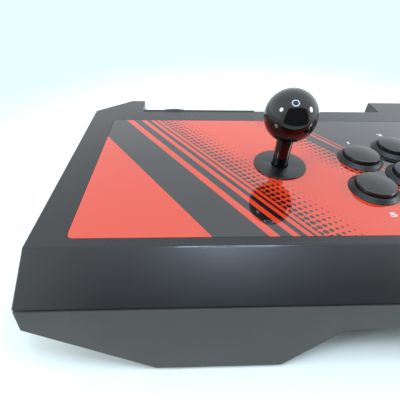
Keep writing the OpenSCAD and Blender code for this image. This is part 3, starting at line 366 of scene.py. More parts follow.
@dataclass(frozen=True)
class PanelPrint(Coating):
    """Film printed with slanted charcoal bars and a dot screen on red, under a clear gloss cover."""

    red: Colour = (0.535, 0.038, 0.0115)
    ink: Colour = (0.006, 0.006, 0.007)
    slant: float = 0.7
    dot_slant: float = 0.5
    bars: tuple[Point, ...] = (
        (-166.0, -134.0), (-128.0, -121.0), (-116.5, -112.5), (-109.0, -107.0), (150.0, 158.0), (163.0, 166.0),
    )
    block: Point = (-2.0, 142.0)  # where the dark block starts and ends across
    pinstripes: tuple[Point, ...] = ((8.0, 10.4), (14.0, 15.2), (128.0, 132.0))
    block_front: float = -49.0
    block_slope: float = 0.12
    dot_pitch: float = 4.6
    dot_r: float = 0.46
    fade_left: Point = (-104.0, -70.0)  # where the dots are full and gone
    fade_right: Point = (-2.0, -34.0)

    def inputs(self, recipe: Recipe) -> Inputs:
        """Works out the shader's inputs.

        Args:
            recipe: the material's recipe.

        Returns:
            The inputs, by name.
        """
        x, y, _ = recipe.numbers()
        across = x + y * self.slant
        behind = (y - x * self.block_slope) > self.block_front
        block = self._bands(across, (self.block,)) * behind * (1 - self._bands(across, self.pinstripes))
        inked = self._bands(across, self.bars).larger(block).larger(self._dots(x, y, across))
        red = recipe.mix(recipe.noise(size=0.9) * 0.5, self.red, shade(self.red, 0.86))
        smear = recipe.noise(size=18.0, detail=3.0, rough=0.5, stretch=(0.3, 1.0, 1.0)).rise(0.45, 0.8)
        return {
            "IOR": self.IOR,
            "Specular IOR Level": 0.0,
            "Coat Roughness": 0.012,
            "Coat IOR": 1.7,
            "Base Color": recipe.mix(inked, red, self.ink),
            "Roughness": 0.42 + smear * 0.12,
            "Coat Weight": 1 - smear * 0.04,
            "Normal": recipe.bump(recipe.noise(size=60.0, detail=1.0), strength=0.02, depth=0.3),
        }

    @staticmethod
    def _bands(across: Signal, bands: Sequence[Point]) -> Signal:
        """1 inside the stripes, which are given by where they start and end across, else 0."""
        first, *others = ((across > low) * (across < high) for low, high in bands)
        return sum(others, first)

    def _dots(self, x: Signal, y: Signal, across: Signal) -> Signal:
        """Marks a dot screen that fades away from the bars and into the dark block.

        Args:
            x: place along the panel.
            y: place across the panel.
            across: place square to the bars.

        Returns:
            1 inside a dot, else 0.
        """
        u = (across / self.dot_pitch).fraction() - 0.5
        v = ((y - x * self.slant * self.dot_slant) / self.dot_pitch).fraction() - 0.5
        fades = []
        for full, gone in (self.fade_left, self.fade_right):
            fade = 1 - (across - full) / (gone - full)
            fades.append(fade * (fade < 1.0))
        return (u * u + v * v) ** 0.5 < fades[0].larger(fades[1]) * self.dot_r


@dataclass(frozen=True)
class RolledSteel(Coating):
    """Metal with fine drawn lines along one direction and faint stains."""

    colour: Colour = (0.56, 0.57, 0.58)
    roughness: float = 0.34
    line: Place = (0.04, 1.0, 1.0)
    line_size: float = 0.5

    def inputs(self, recipe: Recipe) -> Inputs:
        """Works out the shader's inputs.

        Args:
            recipe: the material's recipe.

        Returns:
            The inputs, by name.
        """
        lines = recipe.noise(self.line_size, detail=3.0, rough=0.6, stretch=self.line)
        stain = recipe.noise(size=9.0, detail=4.0).rise(0.4, 0.75)
        return {
            "Metallic": 1.0,
            "Base Color": recipe.mix(stain * 0.6, self.colour, shade(self.colour, 0.8)),
            "Roughness": self.roughness + (lines - 0.5) * 0.18 + stain * 0.08,
            "Normal": recipe.bump(lines, strength=0.12, depth=0.02),
        }


@dataclass(frozen=True)
class PowderCoat(Coating):
    """Steel under a dark orange-peel coat, with pale scuffs."""

    colour: Colour = (0.022, 0.023, 0.025)
    scuffed: Colour = (0.09, 0.09, 0.095)

    def inputs(self, recipe: Recipe) -> Inputs:
        """Works out the shader's inputs.

        Args:
            recipe: the material's recipe.

        Returns:
            The inputs, by name.
        """
        peel = recipe.noise(size=1.4)
        scuff = recipe.noise(size=6.0, detail=4.0, rough=0.7, stretch=(0.1, 1.0, 1.0)).rise(0.68, 0.8)
        return {
            "IOR": self.IOR,
            "Base Color": recipe.mix(scuff * 0.5, self.colour, self.scuffed),
            "Roughness": 0.42 + (peel - 0.5) * 0.1,
            "Normal": recipe.bump(peel, strength=0.4, depth=0.06),
        }


@dataclass(frozen=True)
class SoftRubber(Coating):
    """Matt rubber with a dusty bloom."""

    colour: Colour = (0.018, 0.018, 0.018)
    roughness: float = 0.8

    def inputs(self, recipe: Recipe) -> Inputs:
        """Works out the shader's inputs.

        Args:
            recipe: the material's recipe.

        Returns:
            The inputs, by name.
        """
        bloom = recipe.noise(size=5.0, detail=4.0).rise(0.35, 0.8)
        return {
            "IOR": 1.45,
            "Specular IOR Level": 0.3,
            "Base Color": recipe.mix(bloom * 0.5, self.colour, shade(self.colour, 1.7, 0.01)),
            "Roughness": self.roughness + bloom * 0.1,
            "Normal": recipe.bump(recipe.noise(size=0.4), strength=0.3, depth=0.04),
        }


@dataclass(frozen=True)
class CircuitBoard(Coating):
    """Green solder mask over copper tracks, with tinned pads."""

    mask: Colour = (0.010, 0.085, 0.030)
    track: Colour = (0.020, 0.150, 0.055)
    tin: Colour = (0.55, 0.55, 0.53)
    lane_pitch: Point = (1.6, 2.2)  # of the tracks along Y and X
    pad_pitch: float = 5.1
    pad_r_squared: float = 0.018

    def inputs(self, recipe: Recipe) -> Inputs:
        """Works out the shader's inputs.

        Args:
            recipe: the material's recipe.

        Returns:
            The inputs, by name.
        """
        x, y, _ = recipe.numbers()
        lanes = (x / self.lane_pitch[0]).fraction() < 0.4
        steps = (y / self.lane_pitch[1]).fraction() < 0.35
        choice = recipe.noise(size=12.0) > 0.5
        tracks = lanes * choice + steps * (1 - choice)
        u, v = ((along / self.pad_pitch).fraction() - 0.5 for along in (x, y))
        pads = ((u * u + v * v) < self.pad_r_squared) * (recipe.noise(size=7.0) > 0.52)
        return {
            "IOR": self.IOR,
            "Coat Weight": 0.6,
            "Coat Roughness": 0.15,
            "Base Color": recipe.mix(pads, recipe.mix(tracks, self.mask, self.track), self.tin),
            "Metallic": pads * 0.9,
            "Roughness": 0.4 - pads * 0.1,
            "Normal": recipe.bump(tracks, strength=0.3, depth=0.04),
        }


@dataclass(frozen=True)
class ClearLens(Coating):
    """Clear moulded lens with a faintly frosted body."""

    tint: Colour = (0.85, 0.9, 0.93)
    rib_pitch: float = 0.5

    def inputs(self, recipe: Recipe) -> Inputs:
        """Works out the shader's inputs.

        Args:
            recipe: the material's recipe.

        Returns:
            The inputs, by name.
        """
        haze = recipe.noise(size=2.0, detail=3.0)
        return {
            "IOR": self.IOR,
            "Coat Weight": 1.0,
            "Transmission Weight": 0.4,
            "Base Color": recipe.mix(haze, self.tint, shade(self.tint, 0.8)),
            "Roughness": 0.22 + haze * 0.15,
            "Normal": recipe.bump((recipe.numbers()[0] / self.rib_pitch).fraction(), strength=0.3, depth=0.05),
        }


@dataclass(frozen=True)
class PaleTable(Coating):
    """Floor with painted light round the case: all but white there and pale further off, with the faintest clouding.
    """

    # painted light: the paler colour round the case stands in for the lamps' pool of light on the floor
    near: Colour = (0.67, 0.73, 0.71)
    far: Colour = (0.42, 0.505, 0.475)
    fade: Point = (240.0, 560.0)  # mm from the middle where the painted light round the case starts to fade and far is reached
    clouding: float = 0.985

    def inputs(self, recipe: Recipe) -> Inputs:
        """Works out the shader's inputs.

        Args:
            recipe: the material's recipe.

        Returns:
            The inputs, by name.
        """
        x, y, _ = recipe.numbers()
        # painted light: the floor is made paler round the case, as a pool of lamp light, and fades to far further off
        away = ((x * x + y * y) ** 0.5).rise(*self.fade)
        haze = recipe.noise(size=300.0)
        tone, low = (recipe.mix(away, shade(self.near, k), shade(self.far, k)) for k in (1.0, self.clouding))
        return {
            "Specular IOR Level": 0.2,
            "Base Color": recipe.mix(haze, tone, low),
            "Roughness": 0.6 + haze * 0.05,
        }


@dataclass(frozen=True)
class LampFace(Coating):
    """Face of a lamp, which glows all but evenly over what lies behind it."""

    colour: Colour
    level: float

    def shader(self, recipe: Recipe) -> bpy.types.NodeSocket:
        """Adds the glow to a clear shader.

        Args:
            recipe: the material's recipe.

        Returns:
            The shader.
        """
        glow = recipe.mix(recipe.noise(size=40.0), shade(self.colour, 0.95), self.colour)
        lit = recipe.node("ShaderNodeEmission", {}, {"Color": glow, "Strength": self.level}).outputs[0]
        clear = recipe.node("ShaderNodeBsdfTransparent", {}, {}).outputs[0]
        return recipe.node("ShaderNodeAddShader", {}, {0: lit, 1: clear}).outputs[0]


class Finish(Enum):
    """Finishes of this fight stick, as (slot of the record, coating)."""

    TOP = ("top_plastic", MouldedPlastic((0.0035, 0.0038, 0.0045), 0.30, rubbed=(-79.9, 69.9)))
    BASE = ("base_plastic", MouldedPlastic((0.049, 0.046, 0.040), 0.52, Grain.COARSE))
    DOOR = ("door_plastic", MouldedPlastic((0.0035, 0.0038, 0.0045), 0.30))
    BAY = ("bay_plastic", MouldedPlastic((0.020, 0.020, 0.021), 0.55, Grain.COARSE))
    PLATE = ("bottom_steel", PowderCoat())
    FOOT = ("foot_rubber", SoftRubber())
    SCREW = ("screw_steel", RolledSteel((0.50, 0.51, 0.53), 0.30, (1.0, 1.0, 0.1), 0.3))
    SHEET = ("plate_steel", RolledSteel())
    PRINT = ("panel_print", PanelPrint())
    WHITE_INK = ("white_ink", MouldedPlastic((0.46, 0.46, 0.455), 0.4, Grain.SATIN, 0.04, 0.0))
    PIN = ("pin_steel", RolledSteel((0.60, 0.61, 0.62), 0.22, (1.0, 1.0, 0.05), 0.3))
    SOCKET = ("socket_metal", RolledSteel((0.62, 0.62, 0.60), 0.26))
    BOARD = ("board_green", CircuitBoard())
    LEAD = ("lead_rubber", SoftRubber((0.016, 0.016, 0.017), 0.6))
    HARNESS = ("harness_grey", SoftRubber((0.20, 0.20, 0.21), 0.55))
    HARNESS_RED = ("harness_red", SoftRubber((0.24, 0.014, 0.010), 0.55))
    SWITCH = ("switch_plastic", MouldedPlastic((0.020, 0.020, 0.021), 0.45, Grain.SATIN))
    STRIP = ("strip_gloss", GlossPlastic((0.005, 0.005, 0.0055), skin_roughness=0.17))
    LENS = ("lens_clear", ClearLens())
    KEY = ("key_plastic", MouldedPlastic((0.012, 0.012, 0.0125), 0.42, Grain.SATIN, specks=0.1))
    SLIDE = ("slide_plastic", MouldedPlastic((0.20, 0.20, 0.21), 0.4, Grain.SATIN, specks=0.0))
    BOX = ("box_plastic", MouldedPlastic((0.012, 0.012, 0.013), 0.45, Grain.SATIN))
    WHITE = ("white_plastic", MouldedPlastic((0.40, 0.39, 0.36), 0.4, Grain.SATIN, specks=0.0))
    SPRING = ("spring_steel", RolledSteel((0.62, 0.63, 0.64), 0.25, (1.0, 1.0, 1.0), 0.3))
    BALL = ("ball_gloss", GlossPlastic((0.0025, 0.0018, 0.0018)))
    COVER = ("cover_gloss", GlossPlastic((0.0025, 0.0018, 0.0018), wipes=0.08))
    ACTUATOR = ("actuator_plastic", MouldedPlastic((0.018, 0.018, 0.019), 0.45, Grain.SATIN))
    WASHER = ("washer_plastic", MouldedPlastic((0.0022, 0.0020, 0.0018), 0.34, Grain.SATIN, specks=0.25))
    RIM = ("rim_plastic", MouldedPlastic((0.0026, 0.0026, 0.0028), 0.45, Grain.SATIN, specks=0.15, shine=0.33))
    PLUNGER = ("plunger_plastic", MouldedPlastic((0.006, 0.0062, 0.0064), 0.30, Grain.SATIN, specks=0.1))

    @property
    def slot(self) -> str:
        """The record's slot, which is also the material's name."""
        return self.value[0]

    @cache
    def material(self) -> bpy.types.Material:
        """The material, made the first time and found again later."""
        return self.value[1].make(self.slot)


# Mesh making


STRAIGHT = math.radians(179)  # a corner wider than this stays as it is
MOST = 0.49  # share of a side that a rounding may take


def rounded(points: Sequence[Point], radii: Union[float, Sequence[float]], steps: int = 4) -> list[Point]:
    """Rounds the corners of a closed outline.

    Args:
        points: its corners, in order.
        radii: one radius for all, or one per corner.
        steps: facets of each rounding.

    Returns:
        The rounded outline.
    """
    count = len(points)
    sizes = [radii] * count if isinstance(radii, (int, float)) else list(radii)
    out: list[Point] = []
    for i, radius in enumerate(sizes):
        here, before, after = (Vector(points[j % count]) for j in (i, i - 1, i + 1))
        back, ahead = before - here, after - here
        turn = back.angle(ahead, math.pi)
        if radius <= 0 or turn > STRAIGHT:
            out.append(tuple(here))
            continue
        reach = min(radius / math.tan(turn / 2), MOST * back.length, MOST * ahead.length)
        radius = reach * math.tan(turn / 2)
        start = here + back.normalized() * reach
        end = here + ahead.normalized() * reach
        middle = here + (back.normalized() + ahead.normalized()).normalized() * (radius / math.sin(turn / 2))
        first = start - middle
        sweep = first.angle_signed(end - middle)
        out += [tuple(middle + Matrix.Rotation(-sweep * k / steps, 2) @ first) for k in range(steps + 1)]
    return out


class Solid:
    """A closed mesh, in millimetres, that others cut, join or bound."""

    SHARP = math.radians(12)
    FLAT = math.radians(0.05)
    WELD = 1e-4
    COIL_STEPS, COIL_SIDES = 24, 8

    def __init__(self, mesh: bpy.types.Mesh) -> None:
        """Takes a closed mesh."""
        self.body = bpy.data.objects.new("draft", mesh)
        bpy.context.scene.collection.objects.link(self.body)

    @classmethod
    def _skin(cls, rings: Sequence[Sequence[Place]], closed: bool) -> "Solid":
        """Makes a solid of rings of points, each joined to the next.

        Args:
            rings: the rings, each of the same number of points, or of one on an axis.
            closed: True where the last joins the first, False where both are capped.

        Returns:
            The solid, with its faces turned outwards.
        """
        made = bmesh.new()
        rings = [[made.verts.new(spot) for spot in ring] for ring in rings]
        steps = max(len(ring) for ring in rings)
        for cap in () if closed else (rings[0], rings[-1]):
            made.faces.new(cap)
        for ring, after in zip(rings, rings[1:] + rings[:1] if closed else rings[1:]):
            if len(ring) == len(after) == 1:
                continue
            for k in range(steps):
                n = (k + 1) % steps
                corners = [ring[k % len(ring)], ring[n % len(ring)], after[n % len(after)], after[k % len(after)]]
                made.faces.new(list(dict.fromkeys(corners)))
        bmesh.ops.recalc_face_normals(made, faces=made.faces)
        mesh = bpy.data.meshes.new("draft")
        made.to_mesh(mesh)
        made.free()
        return cls(mesh)

    @classmethod
    def prism(cls, outline: Sequence[Point], axis: Axis, low: float, high: float) -> "Solid":
        """Draws an outline out along an axis: (y, z) points for X, (x, z) for Y, (x, y) for Z."""
        at = axis.value
        return cls._skin([[(*p[:at], end, *p[at:]) for p in outline] for end in (low, high)], closed=False)

    @classmethod
    def block(cls, low: Place, high: Place) -> "Solid":
        """Box between two corners."""
        outline = [(low[0], low[1]), (high[0], low[1]), (high[0], high[1]), (low[0], high[1])]
        return cls.prism(outline, Axis.Z, low[2], high[2])

    @classmethod
    def plate(cls, spot: Point, size: Point, radius: float, low: float, high: float) -> "Solid":
        """Plate with rounded corners, seen from above.

        Args:
            spot: its middle.
            size: how wide and deep it is.
            radius: radius of its corners.
            low: its underside.
            high: its top.

        Returns:
            The solid.
        """
        signs = ((-1, -1), (1, -1), (1, 1), (-1, 1))
        outline = rounded([(spot[0] + a * size[0] / 2, spot[1] + b * size[1] / 2) for a, b in signs], radius, 6)
        return cls.prism(outline, Axis.Z, low, high)

    @classmethod
    def turned(cls, profile: Sequence[Point], spot: Point = (0.0, 0.0), steps: int = 96) -> "Solid":
        """Turns a closed profile round an upright axis.

        Args:
            profile: (radius, height) points of a closed outline.
            spot: where the axis stands.
            steps: facets of the turn.

        Returns:
            The solid.
        """
        rings = []
        for radius, height in profile:
            angles = (2 * math.pi * k / steps for k in range(steps if radius > cls.WELD else 1))
            rings.append([(spot[0] + radius * math.cos(a), spot[1] + radius * math.sin(a), height) for a in angles])
        return cls._skin(rings, closed=True)

    @classmethod
    def bar(cls, spot: Point, radius: float, low: float, high: float, steps: int = 48) -> "Solid":
        """Upright round bar."""
        return cls.turned([(0.0, low), (radius, low), (radius, high), (0.0, high)], spot, steps)

    @classmethod
    def coil(cls, spot: Point, radius: float, wire: float, low: float, high: float, turns: int = 4) -> "Solid":
        """Upright coil spring.

        Args:
            spot: where its axis stands.
            radius: from the axis to the wire's middle.
            wire: radius of the wire.
            low: its foot.
            high: its top.
            turns: how many turns it has.

        Returns:
            The solid.
        """
        steps, sides = cls.COIL_STEPS * turns, cls.COIL_SIDES
        up = Vector((0.0, 0.0, 1.0))
        rings = []
        for i in range(steps + 1):
            turn = 2 * math.pi * turns * i / steps
            out = Vector((math.cos(turn), math.sin(turn), 0.0))
            middle = Vector((*spot, low + wire + (high - low - 2 * wire) * i / steps)) + out * radius
            angles = (2 * math.pi * k / sides for k in range(sides))
            rings.append([middle + wire * (out * math.cos(a) + up * math.sin(a)) for a in angles])
        return cls._skin(rings, closed=False)

    def _merge(self, how: Merge, *others: "Solid") -> "Solid":
        """Merges other solids into this one and uses them up.

        Args:
            how: what is kept.
            others: the other solids.

        Returns:
            This solid.
        """
        for other in others:
            modifier = self.body.modifiers.new("merge", "BOOLEAN")
            modifier.operation = how.value
            modifier.solver = "MANIFOLD"
            modifier.object = other.body
        bpy.context.view_layer.update()
        seen = self.body.evaluated_get(bpy.context.evaluated_depsgraph_get())
        mesh = bpy.data.meshes.new_from_object(seen)
        self.body.modifiers.clear()
        old, self.body.data = self.body.data, mesh
        bpy.data.meshes.remove(old)
        for other in others:
            used = other.body.data
            bpy.data.objects.remove(other.body)
            bpy.data.meshes.remove(used)
        return self

    cut = partialmethod(_merge, Merge.CUT)
    join = partialmethod(_merge, Merge.JOIN)
    common = partialmethod(_merge, Merge.COMMON)

    def moved(self, matrix: Matrix) -> "Solid":
        """Moves the mesh by a matrix."""
        self.body.data.transform(matrix)
        return self

    def tidy(self) -> "Solid":
        """Welds doubled points and dissolves what divides flat faces.

        Returns:
            This solid.
        """
        made = bmesh.new()
        made.from_mesh(self.body.data)
        bmesh.ops.remove_doubles(made, verts=made.verts, dist=self.WELD)
        bmesh.ops.dissolve_degenerate(made, dist=self.WELD, edges=made.edges)
        bmesh.ops.dissolve_limit(made, angle_limit=self.FLAT, verts=made.verts, edges=made.edges)
        made.to_mesh(self.body.data)
        made.free()
        return self

    def round_edges(self, width: float, pick: Callable[[float, float], bool], segments: int = 3) -> None:
        """Rounds sharp edges.

        Args:
            width: how far the rounding reaches.
            pick: says of the lower and the upper height of an edge's ends whether it is rounded.
            segments: facets of the rounding.
        """
        self.tidy()
        made = bmesh.new()
        made.from_mesh(self.body.data)
        edges = [
            e for e in made.edges
            if e.is_manifold and abs(e.calc_face_angle(0.0)) > self.SHARP and pick(*sorted(v.co.z for v in e.verts))
        ]
        bmesh.ops.bevel(
            made, geom=edges, offset=width, offset_type="OFFSET", segments=segments, profile=0.5, affect="EDGES",
            clamp_overlap=True,
        )
        made.to_mesh(self.body.data)
        made.free()

    def round_top(self, width: float, top: float, segments: int = 3) -> None:
        """Rounds the sharp edges of the face at the top."""
        self.round_edges(width, lambda low, high: low > top - NEAR, segments)


class Workshop:
    """Turns solids into finished pieces on their bodies."""

    SMOOTH = math.radians(32)
    BY_AREA = 100

    def __init__(self, frame: dict) -> None:
        self.frame = frame

    def _coat(self, thing: bpy.types.Object, finish: Finish) -> None:
        """Gives an object its finish, with smooth shading between its sharp edges.

        Args:
            thing: the object.
            finish: its finish.
        """
        thing.data.materials.clear()
        thing.data.materials.append(finish.material())
        thing.data.shade_smooth()
        thing.data.set_sharp_from_angle(angle=self.SMOOTH)

    def piece(
        self, solid: Union[Solid, Sequence[Solid]], name: str, finish: Finish, body: str = "root",
        nodes: Sequence[str] = (), slot: Optional[Finish] = None, flat: bool = False,
        bends: Optional[tuple[str, Place, Place]] = None,
    ) -> bpy.types.Object:
        """Finishes a solid as a piece of the object.

        Args:
            solid: the solid, or solids to join, in millimetres.
            name: the piece's name.
            finish: its finish.
            body: the body it rides on.
            nodes: the CAD nodes it stands for.
            slot: a finish, which is not used.
            flat: True where its broad faces need normals weighted by area.
            bends: where given, the piece is left unattached, with its place baked into its mesh; the bodies and places
                in it are not used.

        Returns:
            The piece.
        """
        if not isinstance(solid, Solid):
            solid = solid[0].join(*solid[1:])
        made = solid.tidy().body
        made.name = name
        made.data.name = name
        made.data.transform(Matrix.Scale(MM, 4))
        self._coat(made, finish)
        if flat:
            weigh = made.modifiers.new("even", "WEIGHTED_NORMAL")
            weigh.keep_sharp = True
            weigh.weight = self.BY_AREA
        if bends:
            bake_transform(made)
        else:
            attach(made, body)
        if nodes:
            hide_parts(*nodes)
        LOG.info("piece %s: %d faces, on %s", name, len(made.data.polygons), body)
        return made

    def dress(self, finishes: dict[Finish, Sequence[str]]) -> None:
        """Gives CAD nodes their finishes.

        Args:
            finishes: the nodes of each finish.
        """
        for finish, nodes in finishes.items():
            for node in nodes:
                thing = self.frame["nodes"][node]
                self._coat(thing, finish)
                LOG.info("node %s: %s", node, finish.slot)


# The case


@dataclass
class CaseForm:
    """Outlines of the case, which its pieces are cut from."""

    width: float = 430.0
    depth: float = 230.0
    height: float = 70.0
    wall: float = 3.0
    foot_gap: float = 2.0
    bevel_run: float = 26.5
    bevel_drop: float = 15.8
    lean: float = 8.8
    groove_h: float = 1.8
    groove_in: float = 1.6
    side_break: float = 38.8
    side_turn: float = 68.0
    left_ear_w: float = 43.8
    right_ear_w: float = 152.9
    notch_d: float = 23.0
    ear_cut_w: float = 30.8
    ear_cut_d: float = 24.8
    arch_h: float = 33.2
    arch_half: float = 41.0
    arch_spread: float = 31.5
    arch_in: float = 24.0

    def __post_init__(self) -> None:
        """Works out the heights and places that follow from the sizes."""
        self.z_seam = self.height - self.bevel_drop  # foot of the sloping edge
        self.z_groove = self.z_seam - self.groove_h  # foot of the groove
        self.z_floor = self.foot_gap + self.wall  # top of the lower shell's floor
        self.z_skin = self.height - self.wall  # underside of the top face
        self.x_side = self.width / 2
        self.y_ear = self.depth / 2  # rear of the ears
        self.y_notch = self.y_ear - self.notch_d
        self.y_seam = -self.y_ear + self.lean  # front of the seam
        self.y_arch = -self.y_ear + self.arch_in  # rear wall of the front recess
        self.x_notch = (self.left_ear_w - self.x_side, self.x_side - self.right_ear_w)

    def side_outline(self, inset: float) -> list[Point]:
        """Outline seen from the side, as (y, z) points.

        Args:
            inset: how far inside the surface it lies.

        Returns:
            The outline.
        """
        face = self.lean / (self.z_seam - self.foot_gap)
        bevel = self.bevel_run / self.bevel_drop
        face_in = inset * math.hypot(1, face)
        bevel_in = inset / math.sin(math.atan2(self.bevel_drop, self.bevel_run))
        corner = self.z_seam + (face_in - bevel_in) / (bevel - face)
        top = self.height + OVER
        return [
            *((self.y_seam - (self.z_seam - z) * face + face_in, z) for z in (-OVER, corner)),
            (self.y_seam + (top - self.z_seam) * bevel + bevel_in, top), (self.depth, top), (self.depth, -OVER),
        ]

    def front_outline(self, inset: float) -> list[Point]:
        """Outline seen from the front, as (x, z) points.

        Args:
            inset: how far inside the surface it lies.

        Returns:
            The outline.
        """
        drop = self.side_break - self.foot_gap
        turn_z = self.side_break + inset * (math.hypot(self.side_turn, drop) - drop) / self.side_turn
        side = self.x_side - inset
        low = side - (turn_z + OVER) * self.side_turn / drop
        half = [(side, self.height + OVER), (side, turn_z), (low, -OVER)]
        return [(-x, z) for x, z in half] + half[::-1]

    def plan(self, inset: float) -> list[Point]:
        """Outline seen from above.

        Args:
            inset: how far inside the surface it lies.

        Returns:
            The outline.
        """
        cut = math.hypot(self.ear_cut_w, self.ear_cut_d)
        side = self.x_side - inset
        cut_y = self.y_ear - self.ear_cut_d - inset * (cut - self.ear_cut_d) / self.ear_cut_w
        cut_x = self.x_side - self.ear_cut_w - inset * (cut - self.ear_cut_w) / self.ear_cut_d
        left, right = self.x_notch
        rear, notch = self.y_ear - inset, self.y_notch - inset
        return [
            (-side, -self.depth), (side, -self.depth), (side, cut_y), (cut_x, rear), (right + inset, rear),
            (right + inset, notch), (left - inset, notch), (left - inset, rear), (-cut_x, rear), (-side, cut_y),
        ]

    def arch_outline(self, inset: float) -> list[Point]:
        """Outline of the front recess, as (x, z) points.

        Args:
            inset: how far outside its surface it lies.

        Returns:
            The outline.
        """
        rise = self.arch_h - self.foot_gap
        slope = math.hypot(self.arch_spread, rise)
        low = self.arch_half + self.arch_spread + inset * slope / rise + OVER * self.arch_spread / rise
        high = self.arch_half + inset * (slope - self.arch_spread) / rise
        z0, z1 = self.foot_gap - OVER, self.arch_h + inset
        return [(-low, z0), (-high, z1), (high, z1), (low, z0)]

    def block(self, inset: float, low: float, high: float) -> Solid:
        """The case's body between two heights.

        Args:
            inset: how far inside the surface it lies.
            low: lower height.
            high: upper height.

        Returns:
            The solid.
        """
        return Solid.prism(self.plan(inset), Axis.Z, low, high).common(
            Solid.prism(self.side_outline(inset), Axis.X, -self.width, self.width),
            Solid.prism(self.front_outline(inset), Axis.Y, -self.depth, self.depth),
        )


@dataclass(frozen=True)
class CrossScrew:
    """Screw with its pan head below, a cross recess in it and its tip up.

    The recess is given by its half length, half width and depth, and the head's edge by its rounding, all as shares
    of the head.
    """

    radius: float
    length: float
    head_r: float
    head_h: float
    recess: tuple[float, float, float] = (0.62, 0.13, 0.6)
    head_edge: float = 0.6
    edges: tuple[float, ...] = (0.1, 0.0, 0.2, 0.1, 0.0)

    def make(self, spot: Point, seat: float) -> Solid:
        """Makes one screw.

        Args:
            spot: where its axis stands.
            seat: height of the face that the head bears on.

        Returns:
            The solid.
        """
        tip, foot = seat + self.length, seat - self.head_h
        profile = [
            (0.0, foot), (self.head_r, foot), (self.head_r, seat), (self.radius, seat),
            (self.radius, tip - self.radius / 2), (self.radius / 3, tip), (0.0, tip),
        ]
        soft = (0.0, self.head_h * self.head_edge, *self.edges)
        screw = Solid.turned(rounded(profile, soft), spot, SMALL_TURN)
        reach, half = (self.head_r * share for share in self.recess[:2])
        deep = self.head_h * self.recess[2]
        return screw.cut(*[
            Solid.block((spot[0] - w, spot[1] - t, foot - OVER), (spot[0] + w, spot[1] + t, foot + deep))
            for w, t in ((reach, half), (half, reach))
        ])


